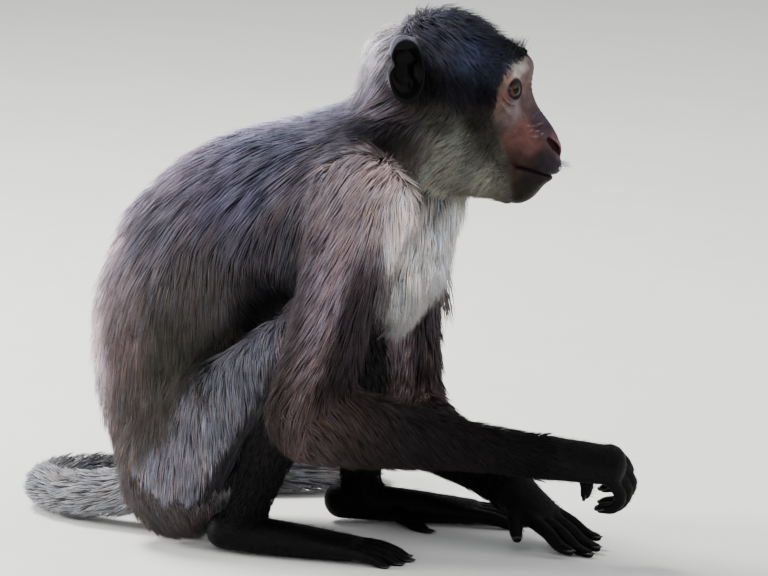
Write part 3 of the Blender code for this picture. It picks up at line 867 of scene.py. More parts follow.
def zipped(low_ring, low_angles, high_ring, high_angles):
    """Triangles between two rings, walked round together."""
    faces, i, j = [], 0, 0
    n, m = len(low_ring), len(high_ring)
    while i < n or j < m:
        a, b = low_ring[i % n], high_ring[j % m]
        low_next = low_angles[(i + 1) % n] + 2 * math.pi * ((i + 1) // n) if i < n else math.inf
        high_next = high_angles[(j + 1) % m] + 2 * math.pi * ((j + 1) // m) if j < m else math.inf
        if low_next <= high_next:
            faces.append((a, low_ring[(i + 1) % n], b))
            i += 1
        else:
            faces.append((a, high_ring[(j + 1) % m], b))
            j += 1
    return np.array(faces)


def fine_parts(points, groups):
    """1 on the hands and feet, 0 elsewhere."""
    fine = np.zeros(len(points))
    for side in SIDES:
        for part in ("hand", "foot"):
            box = groups[f"{part}_{side}"]
            fine[((points > box.low - 2) & (points < box.high + 2)).all(axis=1)] = 1
    return fine


def skin_surface(groups):
    """(points, triangles, the coarse volume round the animal) of the one skin."""
    body = body_volume(groups)
    add_head(body, False)
    heights = body.axes(body.low, body.low + 1e6)[1][2]
    body.values = carve(body.values, heights - FLOOR_CLEARANCE, 1.0)
    points, faces = body.surface()
    points, faces = reduced(points, faces, BODY_TRIANGLES, 1 - 0.75 * fine_parts(points, groups))

    low, high = HEAD_PIVOT - FINE_HEAD[0], HEAD_PIVOT + FINE_HEAD[1]
    head = Volume(low, high, HEAD_STEP)
    for name in ("trunk", "neck", "bib", "upper_arm_right", "upper_arm_left"):
        head.add(groups[name])
    add_head(head, True)
    head_points, head_faces = head.surface()
    inside = ((head_points > low + 1) & (head_points < high - 1)).all(axis=1)
    keep = ((head_points - NECK_CUT) @ NECK_WAY > -SEAM_OVERLAP) & inside
    head_faces = head_faces[keep[head_faces].all(axis=1)]
    front = ease(to_head(head_points)[:, 0], 36, 46)
    head_points, head_faces = reduced(head_points, head_faces, HEAD_TRIANGLES, 1 - 0.6 * front)

    lower = cut_off(points, faces, NECK_CUT - NECK_WAY * SEAM_GAP, -NECK_WAY)
    upper = cut_off(head_points, head_faces, NECK_CUT + NECK_WAY * SEAM_GAP, NECK_WAY)
    low_ring, low_angles = ring_order(lower[0], lower[2])
    high_ring, high_angles = ring_order(upper[0], upper[2])
    strip = zipped(low_ring, low_angles, high_ring + len(lower[0]), high_angles)
    points = np.vstack((lower[0], upper[0]))
    faces = np.vstack((lower[1], upper[1] + len(lower[0]), strip))
    return points, faces, body


# ---- lie, length and colour of the coat
# A guide is (place, way, length, colour): the place with y as the distance from the middle plane, the way
# the hair lies (forward, outward, up), its length in millimetres and its colour. Hair between guides mixes
# the nearest ones. Colours are linear.

BODY_GUIDES = (
    ((150, 0, 330), (-0.8, 0.15, -0.55), 42, (0.42, 0.39, 0.5)),
    ((127, 40, 306), (-0.8, 0.1, -0.5), 28, (0.01, 0.009, 0.014)),
    ((136, 42, 301), (-0.75, 0.35, -0.6), 28, (0.008, 0.006, 0.01)),
    ((130, 50, 297), (-0.75, 0.35, -0.6), 28, (0.008, 0.007, 0.011)),
    ((145, 40, 305), (-0.8, 0.1, -0.5), 27, (0.004, 0.003, 0.005)),
    ((152, 43, 298), (-0.6, 0.6, -0.7), 30, (0.006, 0.005, 0.006)),
    ((152, 49, 293), (-0.5, 0.7, -0.7), 30, (0.01, 0.008, 0.009)),
    ((163, 45, 292), (-0.45, 0.6, -0.75), 30, (0.01, 0.008, 0.009)),
    # These three guides in front of the shoulder, under the cheek, are dark with painted shadow from the
    # head.
    ((170, 42, 282), (-0.4, 0.5, -0.85), 28, (0.022, 0.019, 0.018)),
    ((174, 40, 268), (-0.3, 0.3, -0.9), 26, (0.04, 0.037, 0.032)),
    ((178, 33, 256), (-0.2, 0.0, -1.0), 24, (0.12, 0.12, 0.11)),
    ((116, 38, 303), (-0.8, 0.1, -0.55), 30, (0.024, 0.022, 0.034)),
    ((113, 22, 306), (-0.85, 0.15, -0.45), 32, (0.05, 0.046, 0.08)),
    ((98, 34, 300), (-0.8, 0.15, -0.55), 34, (0.13, 0.12, 0.175)),
    ((127, 24, 319), (-0.8, 0.15, -0.5), 32, (0.24, 0.216, 0.31)),
    ((150, 12, 336), (-0.8, 0.15, -0.55), 38, (0.36, 0.33, 0.44)),
    ((150, 34, 322), (-0.75, 0.1, -0.6), 30, (0.1, 0.09, 0.13)),
    ((120, 50, 289), (-0.65, 0.1, -0.75), 29, (0.075, 0.066, 0.09)),
    ((140, 53, 282), (-0.5, 0.1, -0.85), 25, (0.3, 0.24, 0.255)),
    ((150, 57, 264), (-0.4, 0.1, -0.9), 26, (0.52, 0.385, 0.405)),
    ((128, 62, 260), (-0.45, 0.1, -0.9), 28, (0.25, 0.2, 0.225)),
    ((164, 54, 269), (-0.2, 0.1, -1.0), 24, (0.76, 0.6, 0.59)),
    ((174, 50, 252), (0.1, 0.1, -1.0), 26, (0.92, 0.82, 0.81)),
    # Painted shadow under the cheek, like the three guides in front of the shoulder.
    ((188, 34, 285), (-0.5, 0.0, -0.85), 26, (0.13, 0.125, 0.11)),
    ((188, 0, 262), (-0.1, 0.0, -1.0), 30, (0.55, 0.54, 0.52)),
    ((185, 0, 215), (0.0, 0.05, -1.0), 28, (0.72, 0.71, 0.74)),
    ((159, 32, 205), (-0.1, 0.05, -1.0), 40, (0.98, 0.94, 0.93)),
    ((153, 26, 168), (-0.3, 0.1, -1.0), 60, (0.98, 0.95, 0.94)),
    ((155, 0, 172), (-0.15, 0.0, -1.0), 24, (0.74, 0.72, 0.73)),
    ((125, 0, 160), (-0.1, 0.0, -1.0), 30, (0.4, 0.39, 0.4)),
    ((105, 0, 305), (-0.9, 0.3, -0.3), 38, (0.26, 0.245, 0.35)),
    ((60, 0, 300), (-0.85, 0.35, -0.4), 40, (0.24, 0.224, 0.33)),
    ((-20, 0, 255), (-0.6, 0.35, -0.75), 40, (0.31, 0.262, 0.34)),
    # These four guides along the rear edge of the back and rump carry a painted rim highlight: their pale
    # colour stands in for light from behind.
    ((-68, 0, 185), (-0.15, 0.25, -1.0), 38, (0.85, 0.72, 0.8)),
    ((-66, 0, 110), (0.0, 0.2, -1.0), 34, (0.8, 0.66, 0.72)),
    ((-62, 34, 190), (-0.15, 0.2, -1.0), 38, (0.75, 0.62, 0.7)),
    ((-63, 34, 145), (-0.05, 0.2, -1.0), 36, (0.85, 0.69, 0.76)),
    ((-45, 0, 45), (0.1, 0.2, -1.0), 28, (0.3, 0.25, 0.27)),
    ((110, 60, 275), (-0.6, 0.1, -0.8), 36, (0.165, 0.143, 0.178)),
    ((40, 62, 255), (-0.55, 0.05, -0.85), 38, (0.11, 0.098, 0.15)),
    ((70, 50, 285), (-0.65, 0.2, -0.7), 38, (0.09, 0.09, 0.138)),
    ((-20, 60, 220), (-0.4, 0.0, -0.9), 38, (0.12, 0.108, 0.135)),
    ((-50, 50, 170), (-0.15, 0.0, -1.0), 36, (0.2, 0.16, 0.175)),
    ((95, 64, 215), (-0.25, 0.0, -0.97), 34, (0.09, 0.078, 0.092)),
    ((25, 68, 185), (-0.1, 0.0, -1.0), 34, (0.092, 0.08, 0.08)),
    ((-30, 60, 140), (0.05, 0.0, -1.0), 32, (0.15, 0.112, 0.112)),
    ((5, 66, 140), (0.05, 0.0, -1.0), 32, (0.06, 0.056, 0.048)),
    # These two guides darken the crease between belly and thigh with painted shade.
    ((75, 60, 165), (0.55, 0.0, -0.8), 28, (0.012, 0.011, 0.013)),
    ((40, 66, 130), (0.35, 0.0, -0.95), 30, (0.036, 0.035, 0.031)),
    ((-5, 62, 95), (0.3, 0.0, -0.95), 28, (0.09, 0.078, 0.074)),
    ((-35, 50, 70), (0.2, 0.0, -1.0), 28, (0.14, 0.115, 0.115)),
    ((0, 55, 35), (0.4, 0.1, -0.9), 22, (0.1, 0.085, 0.085)),
    ((70, 20, 110), (0.0, 0.2, -1.0), 28, (0.3, 0.29, 0.29)),
    ((40, 20, 60), (0.2, 0.2, -1.0), 24, (0.24, 0.23, 0.23)),
)

# The same in the head's own frame.
HEAD_GUIDES = (
    ((-30, 0, 50), (-0.8, 0.2, -0.4), 32, (0.6, 0.58, 0.66)),
    ((-45, 0, 35), (-0.6, 0.1, -0.8), 40, (0.95, 0.93, 0.96)),
    ((-45, 15, 15), (-0.6, 0.2, -0.8), 34, (0.42, 0.39, 0.48)),
    ((-38, 28, 0), (-0.8, 0.1, -0.5), 28, (0.13, 0.11, 0.14)),
    ((-25, 38, -7), (-0.9, 0.1, -0.4), 22, (0.05, 0.036, 0.04)),
    ((-8, 0, 60), (0.1, 0.5, 0.0), 19, (0.09, 0.085, 0.115)),
    ((12, 0, 62), (0.6, 0.4, -0.1), 17, (0.045, 0.044, 0.064)),
    ((35, 0, 54), (0.8, 0.2, -0.1), 15, (0.036, 0.036, 0.052)),
    ((46, 0, 47), (0.75, 0.1, 0.15), 13, (0.016, 0.016, 0.022)),
    ((45, 20, 40), (0.55, 0.2, -0.4), 7, (0.026, 0.028, 0.044)),
    ((56, 0, 41), (0.3, 0.05, 0.8), 7, (0.006, 0.006, 0.008)),
    ((10, 25, 52), (0.55, 0.5, -0.4), 16, (0.07, 0.068, 0.096)),
    ((30, 26, 38), (0.6, 0.25, -0.7), 12, (0.056, 0.066, 0.12)),
    ((42, 27, 28), (0.45, 0.1, -0.85), 6, (0.024, 0.027, 0.044)),
    ((22, 34, 16), (0.6, 0.1, -0.8), 11, (0.013, 0.012, 0.017)),
    ((38, 28, 14), (0.3, 0.0, -0.95), 6, (0.006, 0.005, 0.007)),
    ((0, 38, 20), (-0.2, 0.0, -0.9), 10, (0.006, 0.005, 0.006)),
    ((38, 28, -5), (-0.5, 0.3, -0.8), 7, (0.024, 0.02, 0.018)),
    ((8, 40, -10), (-0.8, 0.1, -0.5), 14, (0.06, 0.055, 0.05)),
    ((14, 40, -22), (-0.85, 0.15, -0.45), 15, (0.27, 0.27, 0.23)),
    ((38, 28, -24), (-0.8, 0.2, -0.5), 9, (0.05, 0.045, 0.038)),
    ((30, 28, -30), (-0.8, 0.2, -0.5), 11, (0.16, 0.158, 0.132)),
    ((38, 24, -44), (-0.85, 0.15, -0.45), 12, (0.21, 0.21, 0.172)),
    ((50, 18, -48), (-0.8, 0.1, -0.5), 8, (0.14, 0.136, 0.11)),
    ((57, 14, -48), (-0.8, 0.1, -0.5), 5, (0.024, 0.02, 0.016)),
    ((0, 38, -43), (-0.8, 0.1, -0.6), 18, (0.27, 0.265, 0.225)),
    ((20, 0, -58), (-0.9, 0.05, -0.4), 15, (0.33, 0.322, 0.275)),
    ((46, 0, -62), (-0.9, 0.0, -0.3), 9, (0.22, 0.215, 0.18)),
    ((56, 0, -64), (-0.9, 0.0, -0.3), 6, (0.02, 0.016, 0.013)),
)

# The bare skin of the face and ears, in the head's frame: place and colour.
FACE_COLOURS = (
    ((53, 26, 12), (0.088, 0.044, 0.037)),
    ((49, 27, 20), (0.06, 0.034, 0.028)),
    ((47, 27, -2), (0.062, 0.042, 0.034)),
    ((49, 26, -12), (0.04, 0.027, 0.025)),
    ((61, 19, 29), (0.33, 0.295, 0.27)),
    ((60, 20, 34), (0.23, 0.205, 0.175)),
    ((63, 13, 33), (0.21, 0.185, 0.165)),
    ((67, 4, 30), (0.095, 0.078, 0.076)),
    ((66, 10, 20), (0.1, 0.06, 0.058)),
    ((54, 26, 25), (0.18, 0.11, 0.09)),
    ((64, 23, 3), (0.15, 0.118, 0.135)),
    ((58, 26, -1), (0.085, 0.062, 0.062)),
    ((52, 28, 3), (0.066, 0.042, 0.036)),
    ((59, 25, -7), (0.07, 0.044, 0.044)),
    ((70, 0, 10), (0.07, 0.045, 0.047)),
    ((70, 9, 2), (0.06, 0.038, 0.036)),
    ((78, 0, -8), (0.045, 0.034, 0.055)),
    ((76, 9, -14), (0.036, 0.022, 0.027)),
    ((66, 18, -14), (0.1, 0.042, 0.036)),
    ((60, 21, -20), (0.07, 0.03, 0.027)),
    ((70, 16, -24), (0.075, 0.032, 0.03)),
    ((62, 20, -33), (0.026, 0.013, 0.011)),
    ((76, 15, -34), (0.011, 0.007, 0.008)),
    ((84, 10, -36), (0.012, 0.009, 0.013)),
    ((90, 0, -24), (0.075, 0.046, 0.052)),
    ((91.5, 4, -28), (0.18, 0.085, 0.088)),
    ((91, 3, -36), (0.035, 0.028, 0.04)),
    ((88, 0, -42), (0.01, 0.008, 0.01)),
    ((70, 10, -55), (0.006, 0.0045, 0.0035)),
    ((60, 0, -66), (0.008, 0.006, 0.005)),
)
EAR_SKIN = (0.0014, 0.0011, 0.0014)
WART_SKIN = (0.23, 0.165, 0.135)
WARTS = (
    (72.5, -11.0, 3.2, 0.4), (76.5, -10.0, 2.6, 0.35), (71.0, -14.0, 1.0, 0.5), (75.0, -14.5, 1.6, 0.45),
    (73.5, -18.0, 2.0, 0.6), (78.0, -16.5, 0.8, 0.6), (68.5, -10.5, 0.7, 0.45),
)
# The pale band along the upper back edge of each ear is a painted rim highlight.
EAR_RIM_HIGHLIGHT = (0.12, 0.118, 0.16)
# The inside of each nostril: its dark skin, darkened further with painted shade.
NOSTRIL_SKIN_AND_SHADE = (0.012, 0.002, 0.003)
LID_RIM = (0.022, 0.015, 0.016)
HAND_SKIN = (0.0018, 0.0015, 0.0019)
EAR_BARENESS, HAND_BARENESS = 0.5, 0.8
UNDER_COAT = 0.6  # how bright the skin is against the coat over it

# Along a limb, from 0 at its root to 1 at its end: hair length, colour, and the shares of the limb's own
# way, of down and of forward in the lie.
LIMB_HAIR = {
    "arm": (
        (0.0, 27, (0.36, 0.27, 0.3), (0.6, 0.5, -0.3)),
        (0.1, 27, (0.29, 0.215, 0.245), (0.9, 0.2, -0.2)),
        (0.2, 27, (0.235, 0.186, 0.216), (1.0, 0.1, -0.2)),
        (0.34, 26, (0.18, 0.134, 0.147), (1.0, 0.1, -0.22)),
        (0.45, 24, (0.105, 0.071, 0.071), (1.0, 0.3, -0.1)),
        (0.56, 20, (0.044, 0.031, 0.031), (0.5, 0.8, 0.0)),
        (0.7, 16, (0.016, 0.013, 0.014), (0.6, 0.75, 0.0)),
        (1.0, 7, (0.005, 0.0045, 0.005), (1.0, 0.25, 0.0)),
    ),
    "leg": (
        (0.0, 26, (0.2, 0.186, 0.22), (0.0, 1.0, -0.1)),
        (0.25, 25, (0.16, 0.154, 0.182), (0.0, 1.0, 0.15)),
        (0.45, 21, (0.14, 0.134, 0.162), (0.1, 1.0, 0.2)),
        (0.55, 16, (0.04, 0.036, 0.041), (1.0, 0.3, 0.0)),
        (0.8, 10, (0.012, 0.0105, 0.012), (1.0, 0.1, 0.0)),
        (1.0, 6, (0.004, 0.0036, 0.004), (1.0, 0.0, 0.0)),
    ),
    "tail": (
        (0.0, 19, (0.24, 0.24, 0.26), (1.0, 0.05, 0.0)),
        (0.6, 15, (0.17, 0.168, 0.182), (1.0, 0.05, 0.0)),
        (1.0, 16, (0.3, 0.3, 0.31), (1.0, 0.0, 0.0)),
    ),
    "extremity": (
        (0.0, 8, (0.0016, 0.0014, 0.0018), (1.0, 0.0, 0.0)),
        (1.0, 3, (0.0016, 0.0014, 0.0018), (1.0, 0.0, 0.0)),
    ),
}
CREAM = np.array((0.98, 0.9, 0.895))  # the strip down the front of the shoulder
STRIP_LIE = np.array((0.5, 0.0, -0.3))
# How much lighter the far arm's colours are than the near arm's: painted light on the same coat.
FAR_ARM_PAINTED_LIGHT = 1.9
DIGIT_REACH = 42
SHOULDER_BLEND = 0.15  # how far down the arm its hair takes up that of the body


def mixed(places, guides, values, sharp=3.0):
    """Values of the guides, mixed at places by nearness."""
    spots = np.array([g[0] for g in guides], float)
    values = np.array(values, float)
    total, weights = 0, 0
    for spot, value in zip(spots, values):
        weight = (((places - spot) ** 2).sum(axis=1) + 60.0) ** -sharp
        total = total + weight[:, None] * value
        weights = weights + weight
    return total / weights[:, None]


def mirrored(points):
    """The points moved to the animal's left."""
    return points * (1, 0, 1) + np.abs(points) * (0, 1, 0)


def guided_hair(points, guides):
    """(ways, lengths, colours) from guides."""
    places = mirrored(points)
    ways = mixed(places, guides, [g[1] for g in guides])
    ways[:, 1] *= np.sign(points[:, 1])
    lengths = mixed(places, guides, [(g[2],) for g in guides])[:, 0]
    return ways, lengths, mixed(places, guides, [g[3] for g in guides])


def course(points, path):
    """(share along the path, angle round it, the path's way) at each point."""
    path = np.array(path, float)
    steps = np.diff(path, axis=0)
    runs = np.linalg.norm(steps, axis=1)
    before = np.concatenate(((0,), np.cumsum(runs)))
    best = np.full(len(points), np.inf)
    along, angle, ways = np.zeros(len(points)), np.zeros(len(points)), np.zeros((len(points), 3))
    for start, step, run, past in zip(path, steps, runs, before):
        way = step / run
        side = unit(np.cross(way, (0.31, 0.0, 0.95)))
        up = np.cross(side, way)
        off = points - start
        share = np.clip(off @ way / run, 0, 1)
        gap = off - share[:, None] * step
        far = (gap**2).sum(axis=1)
        near = far < best
        best[near] = far[near]
        along[near] = (past + share[near] * run) / before[-1]
        angle[near] = np.arctan2((gap @ side)[near], (gap @ up)[near])
        ways[near] = way
    return along, angle, ways


def arm_marks(points, normals, along):
    """The share of the cream strip at each point of an arm, and what its colour is multiplied by: with a
    painted highlight partway down the upper arm's side, and the far arm painted lighter.
    """
    ahead = normals[:, 0]
    near = points[:, 1] < 0
    high = 1 - ease(along, 0.12, np.where(near, 0.24, 0.2))
    front = ease(ahead - 0.8 * ease(along, 0.04, 0.24), 0.5, 0.68) * high
    band = ease(ahead, 0.12, 0.38) * ease(along, 0.06, 0.16) * (1 - ease(along, 0.42, 0.5))
    band = band * (1 - front)
    # A painted highlight where the upper arm's surface faces sideways, about a quarter of the way down.
    painted_highlight = hump(ahead, -0.05, 0.28) * hump(along, 0.25, 0.08)
    behind = ease(-ahead, 0.05, 0.6)
    shade = (1 - 0.8 * band) * (1 + 0.5 * painted_highlight) * (1 - 0.62 * behind)
    return front, shade * np.where(near, 1.0, FAR_ARM_PAINTED_LIGHT)


def limb_hair(points, normals, path, kind):
    """(ways, lengths, colours) along a limb."""
    along, _, ways = course(points, path)
    rows = LIMB_HAIR[kind]
    stops = [row[0] for row in rows]

    def at(values):
        return np.stack([np.interp(along, stops, column) for column in np.array(values, float).T], axis=1)

    lengths = at([(row[1],) for row in rows])[:, 0]
    colours = at([row[2] for row in rows])
    shares = at([row[3] for row in rows])
    ways = ways * shares[:, :1] + np.array((0, 0, -1)) * shares[:, 1:2] + np.array((1, 0, 0)) * shares[:, 2:]
    if kind == "arm":
        front, shade = arm_marks(points, normals, along)
        colours = colours * shade[:, None]
        colours = colours + (CREAM - colours) * front[:, None]
        ways = ways + STRIP_LIE * front[:, None]
        lengths = lengths * (1 + 0.75 * front)
    if kind == "leg":
        # The underside of the thigh near the hip is painted lighter: a painted highlight.
        under = (ease(-normals[:, 2], -0.1, 0.5) * (1 - ease(along, 0.15, 0.35)))[:, None]
        colours = colours * (1 + 0.5 * under)
    return ways, lengths, colours


def paths():
    """The middle line of each part, for charts and for the lie along limbs."""
    lines = {"tail": TAIL_PATH, "trunk": [(x, 0, z) for x, z, _, _ in TRUNK]}
    lines["neck"] = lines["bib"] = lines["trunk"]
    lines["head"] = to_world(np.array(((-45, 0, 5), (0, 0, 12), (45, 0, 0), (92, 0, -30.0))))
    for side in SIDES:
        lines[f"upper_arm_{side}"] = lines[f"forearm_{side}"] = [SHOULDER[side], ELBOW[side], WRIST[side]]
        lines[f"thigh_{side}"] = lines[f"shank_{side}"] = [HIP[side], KNEE[side], ANKLE[side]]
        ends = {f"hand_{side}": (WRIST[side], KNUCKLES[side]), f"foot_{side}": (ANKLE[side], TOE_LINE[side])}
        for name, line in ends.items():
            start, end = np.array(line, float)
            lines[name] = [start, end, end + unit(end - start) * DIGIT_REACH]
    return lines


PATHS = paths()
KINDS = {
    "upper_arm": "arm", "forearm": "arm", "thigh": "leg", "shank": "leg", "hand": "extremity",
    "foot": "extremity",
}


def head_hair(spots):
    """(ways, lengths, colours) and depths on the head."""
    local = to_head(spots)
    way, length, colour = guided_hair(local, HEAD_GUIDES)
    depth = 2.5 + 6.5 * ease(length, 5, 17) + 4.0 * ease(local[:, 2], 46, 60)
    return (to_world(way, turn_only=True), length, colour), depth * (1 - 0.6 * bare_face(local))


def shoulder_hair(spots, normals, path, limb):
    """A limb's (ways, lengths, colours), taken up from the body's round the top of the arm."""
    root = 1 - ease(course(spots, path)[0], 0.0, SHOULDER_BLEND)
    body = guided_hair(spots, BODY_GUIDES)
    top = ease(normals[:, 2], 0.1, 0.6)
    body[0][:, 0] -= 0.5 * top
    body[0][:, 1] += 1.3 * np.sign(spots[:, 1]) * top
    shares = (root[:, None], root, root[:, None])
    return [own + (other - own) * share for own, other, share in zip(limb, body, shares)]


def hair(points, normals, owners, names):
    """(ways, lengths, colours, depths) of the coat at points of the skin, by the part each belongs to."""
    ways, lengths = np.zeros_like(points), np.zeros(len(points))
    colours, depths = np.zeros_like(points), np.zeros(len(points))
    for k, name in enumerate(names):
        mine = owners == k
        if not mine.any():
            continue
        spots, own = points[mine], normals[mine]
        if name in ("trunk", "neck", "bib"):
            result, depth = guided_hair(spots, BODY_GUIDES), COAT_DEPTH[name]
        elif name == "head":
            result, depth = head_hair(spots)
        elif name == "tail":
            result, depth = limb_hair(spots, own, TAIL_PATH, "tail"), COAT_DEPTH["tail"]
        else:
            kind = name.rsplit("_", 1)[0]
            result = limb_hair(spots, own, PATHS[name], KINDS[kind])
            if kind == "upper_arm":
                result = shoulder_hair(spots, own, PATHS[name], result)
            depth = np.clip(result[1] * 0.32, 1.0, 9.0) + 0.55 * np.clip(result[1] - 28, 0, 18)
        ways[mine], lengths[mine], colours[mine] = result
        depths[mine] = depth
    return ways, lengths, colours, depths


def bare_face(local):
    """1 on the bare face, 0 where the head is haired, in the head's frame."""
    x, y, z = local.T
    border = np.interp(z, (-70, -58, -40, -25, -12, 0, 12, 24, 34), (57, 59, 58, 53, 48.5, 46, 46.5, 50, 56))
    return ease(x - border + 0.04 * np.abs(y), -5.0, 2.5) * (1 - ease(z, 34.5, 38.5))


def owners_of(points, groups):
    """The index of the nearest part for each point, and the parts' names."""
    names = [*groups, "head", "ear"]
    local = to_head(points)
    values = []
    for name in names:
        if name == "head":
            value = head_field(*local.T, False)
        elif name == "ear":
            value = np.full(len(points), REACH)
            for turn in EAR_TURNS:
                own = [local @ row[:3] + row[3] for row in turn[:3]]
                near = own[0] ** 2 + own[1] ** 2 + own[2] ** 2 < EAR_REACH**2
                value[near] = np.minimum(value[near], ear_field(*(v[near] for v in own)))
        else:
            group = groups[name]
            value = np.full(len(points), REACH)
            near = ((points > group.low - 9) & (points < group.high + 9)).all(axis=1)
            value[near] = group(*points[near].T)
        values.append(value)
    return np.argmin(values, axis=0), names


# ---- tufts

PATCH = 0.003  # the size of a tuft's patch on the bake map
ROOT_SHADE = 0.6  # how dark a tuft is at its root
TIP_SHADE = 1.12
MARKING_SHARE = 0.9  # how far a tuft takes on the colour of the place it lies over
ROOT_DEPTH = 0.8  # how deep a tuft starts under the skin
FLOOR_REST = 0.9  # the lowest a tuft or nail lies
STREAK, WARMTH = 0.14, 0.045  # how far tufts differ in lightness and in warmth
COMMON_LENGTH = 24  # of hair: shorter hair stands closer, and is thinner
CLOSENESS = 0.8
# How a coat lies where a piece doesn't say: its swing to the side, how far it hangs, how closely it is held
# down to its depth, and how far locks gather.
HABIT = {"sway": 0.1, "hang": 0.0, "cling": 1.0, "gather": 0.42}


def tangent(ways, normals):
    """The ways laid flat along the skin."""
    flat = ways - np.einsum("ij,ij->i", ways, normals)[:, None] * normals
    return unit(flat + 1e-4)


def scattered(rng, points, faces, weights, count):
    """Roots spread over the skin by weight, as (places, the triangle of each)."""
    total = np.cumsum(weights)
    picks = (np.arange(count) + rng.random(count)) / count * total[-1]
    tri = np.minimum(np.searchsorted(total, picks), len(faces) - 1)
    a, b = rng.random((2, count, 1))
    over = a + b > 1
    a, b = np.where(over, 1 - a, a), np.where(over, 1 - b, b)
    p, q, r = (points[faces[tri, k]] for k in range(3))
    return p + (q - p) * a + (r - p) * b, tri


def followed(rng, roots, every):
    """For each root, the nearest of the few that lead a lock."""
    leaders = rng.choice(len(roots), max(1, len(roots) // every), replace=False)
    tree = KDTree(len(leaders))
    for k in leaders:
        tree.insert(roots[k], int(k))
    tree.balance()
    return np.array([tree.find(root)[1] for root in roots])


def tuft_faces(segments):
    """The triangles of one tuft, and each corner's place on its patch."""
    faces, corners = [(0, 2, 1)], [((0.0, 0.0), (0.5, -0.12), (1.0, 0.0))]
    for k in range(segments - 1):
        low, high = k / segments, (k + 1) / segments
        for i in range(3):
            j = (i + 1) % 3
            a, b, c, d = 3 * k + i, 3 * k + j, 3 * k + 3 + j, 3 * k + 3 + i
            left, right = i / 3, (i + 1) / 3
            faces += [(a, b, c), (a, c, d)]
            corners.append(((left, low), (right, low), (right, high)))
            corners.append(((left, low), (right, high), (left, high)))
    last, low = 3 * (segments - 1), (segments - 1) / segments
    for i in range(3):
        faces.append((last + i, last + (i + 1) % 3, 3 * segments))
        corners.append(((i / 3, low), ((i + 1) / 3, low), ((i + 0.5) / 3, 1.0)))
    return np.array(faces), np.array(corners)


def grown(rng, volume, style, roots, owners, names, segments):
    """The joints of every tuft, from its root to its tip, with its ups, colours and lengths."""
    normals = volume.slope(roots)
    ways, lengths, colours, depths = hair(roots, normals, owners, names)
    lead = followed(rng, roots, style["lock"])
    count = len(roots)
    own, shared = rng.normal(size=(count, 5)), rng.normal(size=(count, 5))[lead]
    lengths = lengths * np.clip(1 + 0.16 * own[:, 0] + 0.14 * shared[:, 0], 0.5, 1.6)
    tops = depths * np.clip(0.86 + 0.16 * own[:, 1] + 0.12 * shared[:, 1], 0.35, 1.25)
    turn = style["sway"] * (0.6 * own[:, 2] + shared[:, 2])
    heading = tangent(ways, normals)
    hang = np.array((0.0, 0.0, -style["hang"]))
    joints, ups, tints = [roots - normals * ROOT_DEPTH], [normals], [colours]
    place = roots
    for k in range(1, segments + 1):
        share = k / segments
        aside = np.cross(normals, heading)
        way = unit(heading + aside * (turn * (1.4 - share))[:, None] + hang)
        ahead = place + way * (lengths / segments)[:, None]
        normals = volume.slope(ahead)
        lift = tops * share**0.8 - volume.at(ahead)
        lift = np.where(lift < 0, lift * style["cling"], lift)
        ahead = ahead + normals * lift[:, None]
        joints.append(ahead)
        ways, _, under, _ = hair(ahead, normals, owners, names)
        heading = tangent(ways, normals)
        tints.append(colours + (under - colours) * MARKING_SHARE)
        ups.append(normals)
        place = ahead
    for k in range(1, segments + 1):
        share = k / segments
        follow = joints[k][lead] + (roots - roots[lead]) * (1 - 0.75 * share)
        joints[k] = joints[k] + (follow - joints[k]) * (style["gather"] * share)
        joints[k][:, 2] = np.maximum(joints[k][:, 2], FLOOR_REST + 0.3 * share)
    joints[0][:, 2] = np.maximum(joints[0][:, 2], FLOOR_REST)
    light = np.exp(STREAK * (0.55 * shared[:, 3] + 0.8 * own[:, 3]))
    warm = 1 + WARMTH * shared[:, 4:] * np.array((1.0, 0.0, -1.0))
    return joints, ups, [tint * light[:, None] * warm for tint in tints], lengths


def root_weights(skin, style):
    """How likely each triangle of the skin is to hold a root of this piece."""
    _, _, owners, names, centres, areas, normals = skin
    mask = np.isin(owners, [names.index(part) for part in style["parts"]])
    if "where" in style:
        mask &= style["where"](centres)
    _, lengths, _, _ = hair(centres[mask], normals[mask], owners[mask], names)
    weights = np.zeros(len(areas))
    weights[mask] = areas[mask] * (COMMON_LENGTH / lengths) ** CLOSENESS
    if "head" in style["parts"]:
        local = to_head(centres)
        weights *= 1 - np.where(owners == names.index("head"), bare_face(local), 0)
        for turn in EAR_TURNS:
            own = local @ turn[:3, :3].T + turn[:3, 3]
            near = (own**2).sum(axis=1) < EAR_REACH**2
            weights[near] *= ear_field(*own[near].T) > EAR_CLEARANCE
    return weights


def tuft_rings(rng, joints, ups, tints, widths):
    """(corners, colours) of every tuft: a ring of three at each joint, and the tip."""
    segments = len(joints) - 1
    rings, shades = [], []
    for k in range(segments):
        share = k / segments
        heading = unit(joints[k + 1] - joints[max(k - 1, 0)])
        side = unit(np.cross(heading, ups[k]))
        up = np.cross(side, heading)
        roll = rng.normal(0, 0.35, len(widths))[:, None]
        side, up = side * np.cos(roll) + up * np.sin(roll), up * np.cos(roll) - side * np.sin(roll)
        wide = (widths * (0.75 if k == 0 else 1.0 - 0.35 * max(0.0, share - 0.4)))[:, None]
        rings += [joints[k] + side * wide / 2, joints[k] - side * wide / 2, joints[k] + up * wide * 0.42]
        shades += [tints[k] * (ROOT_SHADE + (1 - ROOT_SHADE) * min(1.0, share * 1.6))] * 3
    rings.append(joints[segments])
    shades.append(tints[segments] * TIP_SHADE)
    return np.stack(rings, axis=1), np.stack(shades, axis=1)


def coat_chart(roots, path, patch):
    """The bake map: each tuft's own small patch, by its root's place along and round the path."""
    along, angle, _ = course(roots, path)
    across = angle / (2 * math.pi) + 0.5
    spread = [0.01 + 0.975 * (v - v.min()) / max(np.ptp(v), 1e-6) for v in (along, across)]
    return np.stack(spread, axis=1)[:, None, None, :] + patch[None] * PATCH


